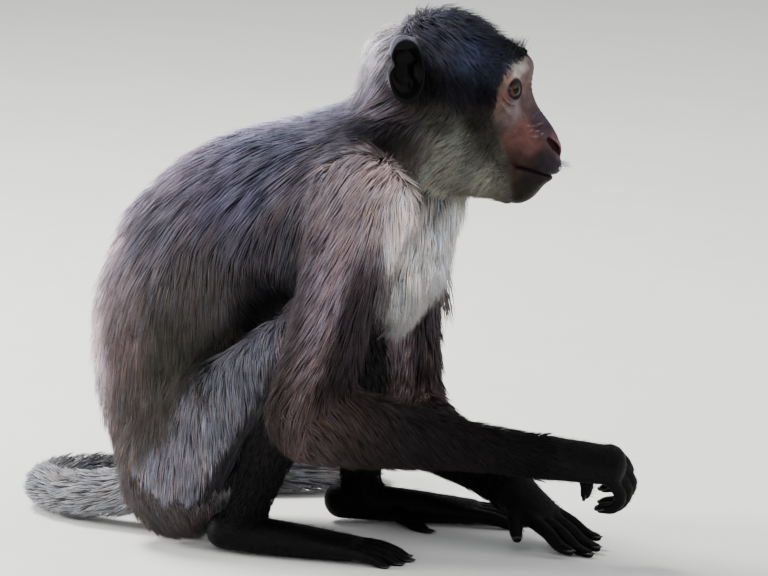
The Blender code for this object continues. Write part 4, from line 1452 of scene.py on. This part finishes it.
def coat_piece(name, skin, volume, style):
    """One piece of the coat: closed tufts, three-sided and tapered, combed along the skin."""
    style = {**HABIT, **style}
    rng = np.random.default_rng(style["seed"])
    points, faces, owners, names = skin[:4]
    count, segments = style["count"], style["segments"]
    roots, held = scattered(rng, points, faces, root_weights(skin, style), count)
    joints, ups, tints, lengths = grown(rng, volume, style, roots, owners[held], names, segments)
    widths = style["width"] * rng.uniform(0.7, 1.25, count) * np.clip(lengths / COMMON_LENGTH, 0.5, 1.15)
    corners, shades = tuft_rings(rng, joints, ups, tints, widths)
    template, patch = tuft_faces(segments)
    firsts = np.arange(count) * corners.shape[1]
    triangles = (template[None] + firsts[:, None, None]).reshape(-1, 3)
    obj = mesh_object(name, corners.reshape(-1, 3), triangles)
    obj.data.shade_smooth()
    stored(obj, "coat_colour", "FLOAT_COLOR", shades)
    layer = obj.data.uv_layers.new(name="OFBake")
    chart = coat_chart(roots, PATHS[style["parts"][0]], patch)
    layer.data.foreach_set("uv", chart.astype(np.float32).ravel())
    return obj


# ---- the coat's pieces

FLANK_TOP, FLANK_SIDE = 205, 34  # where the back's coat gives way to the flanks'
CROWN_LOW = 4  # the height in the head's frame where the crown's coat gives way to the cheeks'
COAT = {
    "coat_back": {
        "parts": ("trunk",), "where": lambda p: (p[:, 2] > FLANK_TOP) | (np.abs(p[:, 1]) < FLANK_SIDE),
        "count": 18000, "segments": 2, "width": 0.95, "lock": 9, "seed": 11, "slot": "grey_coat",
    },
    "coat_flank_right": {
        "parts": ("trunk",), "where": lambda p: (p[:, 2] <= FLANK_TOP) & (p[:, 1] <= -FLANK_SIDE),
        "count": 18000, "segments": 2, "width": 0.85, "lock": 9, "seed": 12, "slot": "brown_coat",
    },
    "coat_flank_left": {
        "parts": ("trunk",), "where": lambda p: (p[:, 2] <= FLANK_TOP) & (p[:, 1] >= FLANK_SIDE),
        "count": 9600, "segments": 2, "width": 1.4, "lock": 9, "seed": 13, "slot": "brown_coat",
    },
    "coat_bib": {
        "parts": ("bib",), "count": 7000, "segments": 2, "width": 0.9, "lock": 8, "seed": 14,
        "slot": "grey_coat", "cling": 0.1, "hang": 0.7,
    },
    "coat_neck": {
        "parts": ("neck",), "count": 12000, "segments": 2, "width": 0.9, "lock": 8, "seed": 15,
        "slot": "grey_coat", "sway": 0.14,
    },
    "coat_crown": {
        "parts": ("head",), "where": lambda p: to_head(p)[:, 2] > CROWN_LOW, "count": 15500, "segments": 2,
        "width": 0.72, "lock": 8, "seed": 16, "slot": "dark_coat",
    },
    "coat_cheeks": {
        "parts": ("head",), "where": lambda p: to_head(p)[:, 2] <= CROWN_LOW, "count": 14000, "segments": 2,
        "width": 0.7, "lock": 8, "seed": 17, "slot": "brown_coat", "gather": 0.25,
    },
    "coat_arm_right": {
        "parts": ("upper_arm_right", "forearm_right"), "count": 18500, "segments": 2, "width": 0.7,
        "lock": 9, "seed": 18, "slot": "brown_coat", "cling": 0.7, "gather": 0.32,
    },
    "coat_arm_left": {
        "parts": ("upper_arm_left", "forearm_left"), "count": 9000, "segments": 2, "width": 1.35,
        "lock": 9, "seed": 19, "slot": "brown_coat",
    },
    "coat_leg_right": {
        "parts": ("thigh_right", "shank_right"), "count": 14000, "segments": 2, "width": 0.95, "lock": 9,
        "seed": 20, "slot": "brown_coat",
    },
    "coat_leg_left": {
        "parts": ("thigh_left", "shank_left"), "count": 7600, "segments": 2, "width": 1.3, "lock": 9,
        "seed": 21, "slot": "brown_coat",
    },
    "coat_tail": {
        "parts": ("tail",), "count": 7600, "segments": 2, "width": 1.2, "lock": 7, "seed": 22,
        "slot": "dark_coat",
    },
    "coat_hands": {
        "parts": ("hand_right", "hand_left"), "count": 4000, "segments": 1, "width": 0.8, "lock": 5,
        "seed": 23, "slot": "dark_coat",
    },
    "coat_feet": {
        "parts": ("foot_right", "foot_left"), "count": 4500, "segments": 1, "width": 0.8, "lock": 5,
        "seed": 24, "slot": "dark_coat",
    },
}


# ---- skin

def face_colours(local):
    """The bare face's colour, in the head's frame, with painted shade in the folds round the eyes, inside the
    nostrils and along the line between the lips.
    """
    near_eye, folds = np.zeros(len(local)), np.zeros(len(local))
    for sign in SIDES.values():
        aside, up, far = opening_angles(*local.T, sign)
        folds += eye_folds(aside, up, far)
        share = opening_share(aside, up)
        rim = hump(share, 1.0, 0.09) * (far < EYE_RADIUS + 3) + (share < 1) * (far < EYE_RADIUS + 1.4)
        near_eye = np.maximum(near_eye, np.clip(rim, 0, 1))
    face = mixed(mirrored(local), FACE_COLOURS, [colour for _, colour in FACE_COLOURS], 4.0)
    # Painted shade in the grooves of the folds round the eyes, and painted light on their ridges.
    face *= np.exp(0.6 * folds)[:, None]
    for x, z, long, tall in WARTS:
        wart = np.exp(-((local[:, 0] - x) / long) ** 2 - ((local[:, 2] - z) / tall) ** 2)
        face += (np.array(WART_SKIN) - face) * (0.55 * wart * ease(np.abs(local[:, 1]), 6, 9))[:, None]
    face += (np.array(LID_RIM) - face) * near_eye[:, None]
    # The insides of the nostrils take their dark skin and painted shade.
    for sign in SIDES.values():
        inside = 1 - ease(NOSTRIL[sign](*local.T), 0.0, 1.0)
        face += (np.array(NOSTRIL_SKIN_AND_SHADE) - face) * inside[:, None]
    # Painted shade along the crease between the lips.
    line = hump(local[:, 2] - mouth_line(local[:, 0]), 0, 1.2) * ease(local[:, 0], 56, 62)
    face *= 1 - 0.75 * line[:, None]
    return face


def skin_colours(points, normals, owners, names):
    """(colour, bareness) at each point of the skin."""
    ear = owners == names.index("ear")
    coated = ~ear
    colours = np.zeros_like(points)
    colours[coated] = hair(points[coated], normals[coated], owners[coated], names)[2] * UNDER_COAT
    local = to_head(points)
    bare = np.where(owners == names.index("head"), bare_face(local), 0.0)
    colours += (face_colours(local) - colours) * bare[:, None]
    for sign, turn in zip(SIDES.values(), EAR_TURNS):
        mine = ear & (local[:, 1] * sign > 0)
        own = local[mine] @ turn[:3, :3].T.astype(float) + turn[:3, 3]
        span = np.sqrt((own[:, 0] / (EAR_WIDTH / 2)) ** 2 + (own[:, 2] / (EAR_HEIGHT / 2)) ** 2)
        # A painted rim highlight along the ear's upper back edge.
        rim = ease(span, 1.0, 1.09) * ease(own[:, 2], 5, 15) * (1 - 0.8 * ease(own[:, 0], 5, 11))
        colours[mine] = np.array(EAR_SKIN) + (np.array(EAR_RIM_HIGHLIGHT) - EAR_SKIN) * rim[:, None]
        bare[mine] = EAR_BARENESS
    for side in SIDES:
        for part in ("hand", "foot"):
            mine = owners == names.index(f"{part}_{side}")
            colours[mine] = HAND_SKIN
            bare[mine] = HAND_BARENESS
    return colours, bare


def skin_object(points, faces, colours, bare):
    obj = mesh_object("skin", points, faces)
    obj.data.shade_smooth()
    stored(obj, "coat_colour", "FLOAT_COLOR", colours)
    stored(obj, "bareness", "FLOAT", bare)
    return obj


# ---- eyes, nails and bristles

GAZE = {"right": math.radians(-47), "left": math.radians(12)}  # in the head's frame, from straight ahead
GAZE_RISE = 0.02
CORNEA = (0.7, 1.25, 0.9)  # the angle out to its edge, how far it would stand up, and where it is flattened
BALL_GAP = 0.25  # between the ball and the lids over it


def eyeball(side):
    """A ball with its cornea standing up a little, and the way from its middle stored at each point."""
    turns, rings = 72, 56
    angles = np.concatenate((np.linspace(0, 0.8, rings // 2), np.linspace(0.8, math.pi, rings // 2)[1:]))
    rows = [(0.0, 0.0)] + [(a, t) for a in angles[1:-1] for t in np.arange(turns) * 2 * math.pi / turns]
    rows.append((math.pi, 0.0))
    polar, around = np.array(rows).T
    own = np.stack((np.sin(polar) * np.cos(around), np.sin(polar) * np.sin(around), np.cos(polar)), axis=1)
    rise = CORNEA[1] * (1 - ease(polar, 0, CORNEA[0]))
    radius = EYE_RADIUS - BALL_GAP + np.minimum(rise, CORNEA[2])
    ahead = np.array((math.cos(GAZE[side]), math.sin(GAZE[side]), GAZE_RISE))
    across = np.array((-math.sin(GAZE[side]), math.cos(GAZE[side]), 0.0))
    basis = np.stack((across, np.cross(ahead, across), ahead))
    local = eye_centre(SIDES[side]) + (own * radius[:, None]) @ basis
    faces = [(0, 1 + t, 1 + (t + 1) % turns) for t in range(turns)]
    count = len(angles) - 2
    for k in range(count - 1):
        for t in range(turns):
            a, b = 1 + k * turns + t, 1 + k * turns + (t + 1) % turns
            faces += [(a, a + turns, b + turns), (a, b + turns, b)]
    last = 1 + (count - 1) * turns
    faces += [(last + (t + 1) % turns, last + t, len(own) - 1) for t in range(turns)]
    obj = mesh_object(f"eyeball_{side}", to_world(local), faces)
    obj.data.shade_smooth()
    stored(obj, "eye_way", "FLOAT_VECTOR", own)
    return obj


def group_tree(name, inputs):
    """A Geometry Nodes tree with a geometry input and output and the named inputs."""
    tree = bpy.data.node_groups.new(name, "GeometryNodeTree")
    tree.interface.new_socket("Geometry", in_out="INPUT", socket_type="NodeSocketGeometry")
    for label, kind in inputs:
        tree.interface.new_socket(label, in_out="INPUT", socket_type=kind)
    tree.interface.new_socket("Geometry", in_out="OUTPUT", socket_type="NodeSocketGeometry")
    return tree, tree.nodes.new("NodeGroupInput"), tree.nodes.new("NodeGroupOutput")


def grown_by(obj, tree, values):
    """The object with the tree's result as its mesh."""
    modifier = obj.modifiers.new(tree.name, "NODES")
    modifier.node_group = tree
    for item in tree.interface.items_tree:
        if item.in_out == "INPUT" and item.name in values:
            modifier[item.identifier] = values[item.name]
    return applied(obj)


def bristle_tree():
    """Tapered closed bristles along the input's lines."""
    inputs = (("Thickness", "NodeSocketFloat"), ("Material", "NodeSocketMaterial"))
    tree, start, end = group_tree("bristles", inputs)
    nodes, link = tree.nodes, tree.links.new
    curve = nodes.new("GeometryNodeMeshToCurve")
    share = nodes.new("GeometryNodeSplineParameter")
    left = nodes.new("ShaderNodeMath")
    left.operation = "SUBTRACT"
    left.inputs[0].default_value = 1.04
    thick = nodes.new("ShaderNodeMath")
    thick.operation = "MULTIPLY"
    sized = nodes.new("GeometryNodeSetCurveRadius")
    ring = nodes.new("GeometryNodeCurvePrimitiveCircle")
    ring.inputs["Resolution"].default_value = 4
    ring.inputs["Radius"].default_value = 1.0
    swept = nodes.new("GeometryNodeCurveToMesh")
    swept.inputs["Fill Caps"].default_value = True
    real = nodes.new("GeometryNodeRealizeInstances")
    paint = nodes.new("GeometryNodeSetMaterial")
    link(start.outputs["Geometry"], curve.inputs["Mesh"])
    link(share.outputs["Factor"], left.inputs[1])
    link(left.outputs[0], thick.inputs[0])
    link(start.outputs["Thickness"], thick.inputs[1])
    link(curve.outputs["Curve"], sized.inputs["Curve"])
    link(thick.outputs[0], sized.inputs["Radius"])
    link(sized.outputs["Curve"], swept.inputs["Curve"])
    link(ring.outputs["Curve"], swept.inputs["Profile Curve"])
    if "Scale" in swept.inputs:
        link(thick.outputs[0], swept.inputs["Scale"])
    link(swept.outputs["Mesh"], real.inputs["Geometry"])
    link(real.outputs["Geometry"], paint.inputs["Geometry"])
    link(start.outputs["Material"], paint.inputs["Material"])
    link(paint.outputs["Geometry"], end.inputs["Geometry"])
    return tree


def nail_tree():
    """A copy of the shape at each of the input's points, turned by its stored ways."""
    inputs = (("Shape", "NodeSocketObject"), ("Material", "NodeSocketMaterial"))
    tree, start, end = group_tree("nails", inputs)
    nodes, link = tree.nodes, tree.links.new
    shape = nodes.new("GeometryNodeObjectInfo")
    placed = nodes.new("GeometryNodeInstanceOnPoints")
    turn = nodes.new("FunctionNodeAxesToRotation")
    turn.primary_axis, turn.secondary_axis = "X", "Z"
    read = {}
    for label in ("way", "back", "size"):
        read[label] = nodes.new("GeometryNodeInputNamedAttribute")
        read[label].data_type = "FLOAT_VECTOR"
        read[label].inputs["Name"].default_value = label
    real = nodes.new("GeometryNodeRealizeInstances")
    paint = nodes.new("GeometryNodeSetMaterial")
    link(start.outputs["Geometry"], placed.inputs["Points"])
    link(start.outputs["Shape"], shape.inputs["Object"])
    link(shape.outputs["Geometry"], placed.inputs["Instance"])
    link(read["way"].outputs["Attribute"], turn.inputs["Primary Axis"])
    link(read["back"].outputs["Attribute"], turn.inputs["Secondary Axis"])
    link(turn.outputs["Rotation"], placed.inputs["Rotation"])
    link(read["size"].outputs["Attribute"], placed.inputs["Scale"])
    link(placed.outputs["Instances"], real.inputs["Geometry"])
    link(real.outputs["Geometry"], paint.inputs["Geometry"])
    link(start.outputs["Material"], paint.inputs["Material"])
    link(paint.outputs["Geometry"], end.inputs["Geometry"])
    return tree


def nail_shape():
    """A curved nail one unit long, wide and thick, its root at the origin, with its free edge rounded."""
    ways, across = 9, 9
    top, under = [], []
    for i in range(ways):
        u = i / (ways - 1)
        narrow = 1 - 0.35 * ease(u, 0.6, 1.0) - 0.15 * (1 - ease(u, 0, 0.2))
        for j in range(across):
            v = 2 * j / (across - 1) - 1
            y, drop = v * narrow / 2, v * v
            x = u - 0.12 * drop * u
            z = -0.42 * drop * narrow - 0.3 * u * u
            top.append((x, y, z))
            under.append((x, y * 0.93, z - 0.12))
    points = np.array(top + under)
    n, faces = len(top), []
    for i in range(ways - 1):
        for j in range(across - 1):
            a = i * across + j
            b, c, d = a + 1, a + across + 1, a + across
            faces += [(a, d, c), (a, c, b), (n + a, n + b, n + c), (n + a, n + c, n + d)]
    edge = list(range(across)) + [i * across + across - 1 for i in range(1, ways)]
    edge += [(ways - 1) * across + j for j in range(across - 2, -1, -1)]
    edge += [i * across for i in range(ways - 2, 0, -1)]
    for a, b in zip(edge, edge[1:] + edge[:1]):
        faces += [(a, b, n + b), (a, n + b, n + a)]
    return mesh_object("nail_shape", points / MM, faces)


RESTING = 14  # a digit whose tip is lower than this rests on the floor
NAIL_SIZE = (1.75, 1.45, 0.62)  # length, width and thickness against the digit's radius
NAIL_BACK, NAIL_LIFT = 0.95, 0.5  # from the digit's tip to the nail's root, against the same


def raised(tip, way, back, radius):
    """A nail's place, level over a digit that rests on the floor."""
    if tip[2] < RESTING:
        way = unit(np.array((way[0], way[1], max(way[2], 0.0))))
        back = unit(np.array((0.0, 0.0, 1.0)) - way * way[2])
        tip = np.array((tip[0], tip[1], max(tip[2], FLOOR_REST)))
    return tip, way, back, radius


def nails(material):
    shape = nail_shape()
    places = [raised(*nail) for side in SIDES for part in (hand, foot) for nail in part(side)[1]]
    roots = [tip - way * r * NAIL_BACK + back * r * NAIL_LIFT for tip, way, back, r in places]
    _, ways, backs, radii = zip(*places)
    obj = mesh_object("nails", roots, [])
    stored(obj, "way", "FLOAT_VECTOR", ways)
    stored(obj, "back", "FLOAT_VECTOR", backs)
    stored(obj, "size", "FLOAT_VECTOR", [[r * share * MM for share in NAIL_SIZE] for r in radii])
    grown_by(obj, nail_tree(), {"Shape": shape, "Material": material})
    bpy.data.objects.remove(shape)
    obj.data.shade_smooth()
    return obj


BRISTLE_STEPS = 4
BRISTLE_SPREAD = 0.16  # how far bristles of a bed differ in their ways


def bristles(name, lines, thickness, material, tree):
    """Bristles along lines of points, in millimetres."""
    mesh = bpy.data.meshes.new(name)
    points = np.vstack(lines) * MM
    edges, first = [], 0
    for line in lines:
        edges += [(first + k, first + k + 1) for k in range(len(line) - 1)]
        first += len(line)
    mesh.from_pydata([tuple(p) for p in points], edges, [])
    obj = bpy.data.objects.new(name, mesh)
    bpy.context.scene.collection.objects.link(obj)
    grown_by(obj, tree, {"Thickness": thickness * MM, "Material": material})
    obj.data.shade_smooth()
    return obj


def bristle_lines(rng, beds, surface, normals, find):
    """Lines for bristles: each bed is (middle, spread, way, length, droop, how many), in the head's frame."""
    lines = []
    for middle, spread, way, length, droop, count in beds:
        for sign in (-1, 1):
            for _ in range(count):
                spot = sided(np.array(middle) + rng.normal(size=3) * spread, sign)
                at = find.find(to_world(spot[None])[0])[1]
                heading = unit(sided(way, sign) + rng.normal(0, BRISTLE_SPREAD, 3))
                heading = to_world(heading[None], turn_only=True)[0]
                reach = length * rng.uniform(0.6, 1.25)
                line = [surface[at] - normals[at] * ROOT_DEPTH]
                for k in range(1, BRISTLE_STEPS + 1):
                    heading = unit(heading + np.array((0, 0, -droop)) * k / BRISTLE_STEPS)
                    line.append(line[-1] + heading * reach / BRISTLE_STEPS)
                lines.append(np.array(line))
    return lines


WHISKER_BEDS = (
    ((92, 2, -39), (0.8, 2.0, 1.0), (1.0, 0.15, 0.05), 8, 0.1, 24),
    ((90, 6, -41), (1.0, 1.2, 0.8), (0.85, 0.4, -0.35), 6, 0.1, 10),
)
BROW_BEDS = (
    ((60, 3, 39), (2.5, 3.0, 1.2), (0.3, 0.1, 0.95), 11, 0.02, 44),
    ((55, 12, 38), (2.5, 4.0, 1.2), (0.25, 0.2, 0.9), 9, 0.02, 34),
)

# ---- materials

def shader(name, **values):
    """(material, its nodes, link, its principled shader) with plain values on the shader's own sockets."""
    material = bpy.data.materials.new(name)
    material.use_nodes = True
    nodes = material.node_tree.nodes
    principled = nodes["Principled BSDF"]
    for label, value in values.items():
        principled.inputs[label].default_value = value
    return material, nodes, material.node_tree.links.new, principled


def noise(nodes, link, source, scale, detail=3.0, stretch=None):
    """The height of a noise over the object's own coordinates."""
    node = nodes.new("ShaderNodeTexNoise")
    node.inputs["Scale"].default_value = scale
    node.inputs["Detail"].default_value = detail
    if stretch:
        mapping = nodes.new("ShaderNodeMapping")
        mapping.inputs["Scale"].default_value = stretch
        link(source, mapping.inputs["Vector"])
        source = mapping.outputs["Vector"]
    link(source, node.inputs["Vector"])
    return node.outputs["Fac"]


def ranged(nodes, link, value, low, high):
    """A noise's height stretched to run from low to high."""
    node = nodes.new("ShaderNodeMapRange")
    node.inputs["To Min"].default_value = low
    node.inputs["To Max"].default_value = high
    node.inputs["From Min"].default_value = 0.3
    node.inputs["From Max"].default_value = 0.7
    link(value, node.inputs["Value"])
    return node.outputs["Result"]


def times(nodes, link, colour, amount):
    """A colour times a number."""
    node = nodes.new("ShaderNodeVectorMath")
    node.operation = "SCALE"
    link(colour, node.inputs[0])
    link(amount, node.inputs["Scale"])
    return node.outputs["Vector"]


def bumped(nodes, link, principled, height, distance, strength=1.0, previous=None):
    """A bump from a height, in metres, on the shader's normal."""
    bump = nodes.new("ShaderNodeBump")
    bump.inputs["Distance"].default_value = distance
    bump.inputs["Strength"].default_value = strength
    link(height, bump.inputs["Height"])
    if previous:
        link(previous, bump.inputs["Normal"])
    link(bump.outputs["Normal"], principled.inputs["Normal"])
    return bump


def coat_material(name, roughness, gloss):
    """Hair: the colour stored on each tuft, broken by fine and broad unevenness."""
    finish = {"Roughness": roughness, "Specular IOR Level": gloss}
    material, nodes, link, principled = shader(name, **finish)
    tint = nodes.new("ShaderNodeAttribute")
    tint.attribute_name = "coat_colour"
    place = nodes.new("ShaderNodeTexCoord").outputs["Object"]
    broad = ranged(nodes, link, noise(nodes, link, place, 60.0, 4.0), 0.78, 1.24)
    fine = ranged(nodes, link, noise(nodes, link, place, 900.0, 2.0), 0.82, 1.18)
    colour = times(nodes, link, times(nodes, link, tint.outputs["Color"], broad), fine)
    link(colour, principled.inputs["Base Color"])
    bumped(nodes, link, principled, noise(nodes, link, place, 1400.0, 2.0), 0.0003, 0.5)
    return material


def skin_material():
    """Bare skin with pores and lines; under the coat, short flat hair."""
    material, nodes, link, principled = shader("skin", **{
        "Roughness": 0.55, "Specular IOR Level": 0.08, "Subsurface Weight": 0.05, "Subsurface Scale": 0.002,
    })
    tint = nodes.new("ShaderNodeAttribute")
    tint.attribute_name = "coat_colour"
    bare = nodes.new("ShaderNodeAttribute")
    bare.attribute_name = "bareness"
    place = nodes.new("ShaderNodeTexCoord").outputs["Object"]
    blotch = ranged(nodes, link, noise(nodes, link, place, 160.0, 5.0), 0.7, 1.3)
    grain = ranged(nodes, link, noise(nodes, link, place, 1300.0, 3.0), 0.8, 1.2)
    colour = times(nodes, link, times(nodes, link, tint.outputs["Color"], blotch), grain)
    link(colour, principled.inputs["Base Color"])
    gloss = ranged(nodes, link, noise(nodes, link, place, 500.0, 2.0), 0.45, 0.66)
    link(gloss, principled.inputs["Roughness"])
    pores = nodes.new("ShaderNodeTexVoronoi")
    pores.feature = "DISTANCE_TO_EDGE"
    pores.inputs["Scale"].default_value = 900.0
    link(place, pores.inputs["Vector"])
    folds = bumped(nodes, link, principled, noise(nodes, link, place, 420.0, 4.0), 0.0006, 0.5)
    bumped(nodes, link, principled, pores.outputs["Distance"], 0.00035, 0.45, folds.outputs["Normal"])
    return material


def eye_material():
    """Pupil, iris, dark rim and brown white, by the angle from the middle of the cornea."""
    material, nodes, link, principled = shader("eye", **{
        "Roughness": 0.35, "Specular IOR Level": 0.03, "Coat Weight": 0.32, "Coat Roughness": 0.02,
        "Coat IOR": 1.38,
    })
    way = nodes.new("ShaderNodeAttribute")
    way.attribute_name = "eye_way"
    parts = nodes.new("ShaderNodeSeparateXYZ")
    link(way.outputs["Vector"], parts.inputs["Vector"])
    angle = nodes.new("ShaderNodeMath")
    angle.operation = "ARCCOSINE"
    link(parts.outputs["Z"], angle.inputs[0])
    ramp = nodes.new("ShaderNodeValToRGB")
    stops = (
        (0.0, (0.0008, 0.0006, 0.0005)), (0.195, (0.001, 0.0007, 0.0006)), (0.225, (0.014, 0.007, 0.005)),
        (0.3, (0.042, 0.02, 0.014)), (0.4, (0.034, 0.017, 0.013)), (0.46, (0.014, 0.008, 0.006)),
        (0.51, (0.005, 0.004, 0.004)), (0.64, (0.011, 0.008, 0.008)), (1.0, (0.02, 0.013, 0.013)),
    )
    elements = ramp.color_ramp.elements
    for element, (place, colour) in zip(elements, (stops[0], stops[-1])):
        element.position, element.color = place, (*colour, 1)
    for place, colour in stops[1:-1]:
        elements.new(place).color = (*colour, 1)
    link(angle.outputs[0], ramp.inputs["Fac"])
    flat = nodes.new("ShaderNodeVectorMath")
    flat.operation = "MULTIPLY"
    flat.inputs[1].default_value = (1, 1, 0.12)
    link(way.outputs["Vector"], flat.inputs[0])
    rays = nodes.new("ShaderNodeVectorMath")
    rays.operation = "NORMALIZE"
    link(flat.outputs["Vector"], rays.inputs[0])
    streak = ranged(nodes, link, noise(nodes, link, rays.outputs["Vector"], 22.0, 3.0), 0.6, 1.5)
    link(times(nodes, link, ramp.outputs["Color"], streak), principled.inputs["Base Color"])
    return material


def plain_material(name, colour, roughness, scale, uneven=0.25, **values):
    """One colour, broken by noise, with a slight grain."""
    material, nodes, link, principled = shader(name, Roughness=roughness, **values)
    place = nodes.new("ShaderNodeTexCoord").outputs["Object"]
    ramp = nodes.new("ShaderNodeValToRGB")
    for element, share in zip(ramp.color_ramp.elements, (1 - uneven, 1 + uneven)):
        element.color = (*(min(1.0, c * share) for c in colour), 1)
    grain = noise(nodes, link, place, scale, 4.0)
    link(grain, ramp.inputs["Fac"])
    link(ramp.outputs["Color"], principled.inputs["Base Color"])
    bumped(nodes, link, principled, grain, 0.1 / scale, 0.3)
    return material


# ---- stage

def area_light(name, place, target, size, power, colour):
    """A round lamp that points at its target."""
    light = bpy.data.lights.new(name, "AREA")
    light.shape = "DISK"
    light.size, light.energy, light.color = size, power, colour
    obj = bpy.data.objects.new(name, light)
    obj.location = place
    obj.rotation_euler = (Vector(target) - Vector(place)).to_track_quat("-Z", "Y").to_euler()
    bpy.context.scene.collection.objects.link(obj)


FLOOR_HALF = 9
FLOOR_GREY = (0.72, 0.72, 0.7)
LIT = (0.08, 0, 0.2)  # the place that the lights point at
LIGHTS = {  # place, size across, power and colour
    "key": ((-1.2, 0.7, 2.3), 1.0, 140, (1.0, 0.985, 0.96)),
    "rim": ((-2.4, 0.1, 0.9), 0.9, 115, (1.0, 0.985, 0.96)),
    "side": ((0.5, -2.5, 1.5), 1.8, 30, (0.97, 0.98, 1.0)),
    "front": ((2.4, -0.3, 1.1), 1.2, 22, (1.0, 0.99, 0.98)),
}
SKY, SKY_STRENGTH = (0.95, 0.97, 1.0, 1), 0.62
CAMERA_TURN, CAMERA_TILT = math.radians(12), math.radians(10)
CAMERA_DISTANCE, CAMERA_AIM = 4.5, (0.132, 0.0587, 0.1699)
VIEW_WIDTH = 0.545  # how wide a strip the camera sees at its aim
SENSOR = 36


def floor_piece():
    corners = np.array(((-1, -1, 0), (1, -1, 0), (1, 1, 0), (-1, 1, 0))) * FLOOR_HALF / MM
    floor = mesh_object("floor", corners, [(0, 1, 2), (0, 2, 3)])
    floor.data.materials.append(plain_material("floor", FLOOR_GREY, 0.85, 8.0, 0.02))
    floor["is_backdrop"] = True


def sky():
    world = bpy.data.worlds.new("world")
    world.use_nodes = True
    background = world.node_tree.nodes["Background"]
    background.inputs["Color"].default_value = SKY
    background.inputs["Strength"].default_value = SKY_STRENGTH
    bpy.context.scene.world = world


def camera():
    turn, tilt = CAMERA_TURN, CAMERA_TILT
    back = Vector((math.sin(turn) * math.cos(tilt), -math.cos(turn) * math.cos(tilt), math.sin(tilt)))
    right = Vector((math.cos(turn), math.sin(turn), 0))
    data = bpy.data.cameras.new("camera")
    data.lens, data.sensor_width = SENSOR * CAMERA_DISTANCE / VIEW_WIDTH, SENSOR
    data.clip_start, data.clip_end = 0.1, 20
    obj = bpy.data.objects.new("camera", data)
    place = Matrix.Translation(Vector(CAMERA_AIM) + back * CAMERA_DISTANCE)
    obj.matrix_world = place @ Matrix((right, back.cross(right), back)).transposed().to_4x4()
    bpy.context.scene.collection.objects.link(obj)
    bpy.context.scene.camera = obj


def stage():
    floor_piece()
    for name, (place, size, power, colour) in LIGHTS.items():
        area_light(name, place, LIT, size, power, colour)
    sky()
    camera()


# ---- the animal

COAT_FINISH = {"grey_coat": (0.55, 0.13), "brown_coat": (0.6, 0.1), "dark_coat": (0.6, 0.06)}
NAIL_HORN = (0.01, 0.008, 0.009)
WHITE_BRISTLE, BLACK_BRISTLE = (0.85, 0.84, 0.86), (0.006, 0.006, 0.007)
BRISTLE_SEED = 5
WHISKER_THICKNESS, BROW_THICKNESS = 0.26, 0.2


def face_centres(points, faces):
    """(middles, areas, normals) of triangles."""
    a, b, c = (points[faces[:, k]] for k in range(3))
    normals = np.cross(b - a, c - a)
    size = np.linalg.norm(normals, axis=1)
    return (a + b + c) / 3, size / 2, normals / np.maximum(size, 1e-9)[:, None]


def point_normals(points, faces, normals, areas):
    """The skin's normal at each point, from the triangles round it by area."""
    total = np.zeros_like(points)
    for k in range(3):
        for axis in range(3):
            total[:, axis] += np.bincount(faces[:, k], normals[:, axis] * areas, len(points))
    return unit(total)


def finished(obj, slot, *nodes):
    """Holds a piece on the root body and hides the nodes that it stands for; slot is not used."""
    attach(obj, "root")
    if nodes:
        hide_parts(*nodes)


def coat(skin, volume):
    """All pieces of the coat."""
    materials = {name: coat_material(name, *finish) for name, finish in COAT_FINISH.items()}
    for name, style in COAT.items():
        piece = coat_piece(name, skin, volume, style)
        piece.data.materials.append(materials[style["slot"]])
        finished(piece, style["slot"])


def eyes():
    material = eye_material()
    for side in SIDES:
        eye = eyeball(side)
        eye.data.materials.append(material)
        finished(eye, "eye", f"eye_{side}")


def face_bristles(points, normals):
    """The pale whiskers of the lips and the dark bristles of the brow."""
    rng = np.random.default_rng(BRISTLE_SEED)
    find = KDTree(len(points))
    for k, point in enumerate(points):
        find.insert(point, k)
    find.balance()
    tree = bristle_tree()
    white = plain_material("white_bristle", WHITE_BRISTLE, 0.5, 400.0)
    black = plain_material("black_bristle", BLACK_BRISTLE, 0.45, 400.0)
    for name, beds, thickness, material, slot in (
        ("whiskers", WHISKER_BEDS, WHISKER_THICKNESS, white, "grey_coat"),
        ("brow_bristles", BROW_BEDS, BROW_THICKNESS, black, "dark_coat"),
    ):
        lines = bristle_lines(rng, beds, points, normals, find)
        finished(bristles(name, lines, thickness, material, tree), slot)


def build():
    groups = body_groups()
    points, faces, volume = skin_surface(groups)
    centres, areas, face_normals = face_centres(points, faces)
    normals = point_normals(points, faces, face_normals, areas)
    owners, names = owners_of(points, groups)
    skin = skin_object(points, faces, *skin_colours(points, normals, owners, names))
    skin.data.materials.append(skin_material())
    finished(skin, "dark_skin", *sorted(set(frame["nodes"]) - set(EYES)))
    middle_owners = np.sort(owners[faces], axis=1)[:, 1]
    coat((points, faces, middle_owners, names, centres, areas, face_normals), volume)
    eyes()
    horn = plain_material("nail", NAIL_HORN, 0.32, 300.0)
    finished(nails(horn), "dark_skin")
    face_bristles(points, normals)


build()
stage()
bpy.context.view_layer.update()
SCENE_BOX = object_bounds()
[[list(corner) for corner in box] for box in (CAD_BOX, SCENE_BOX)]
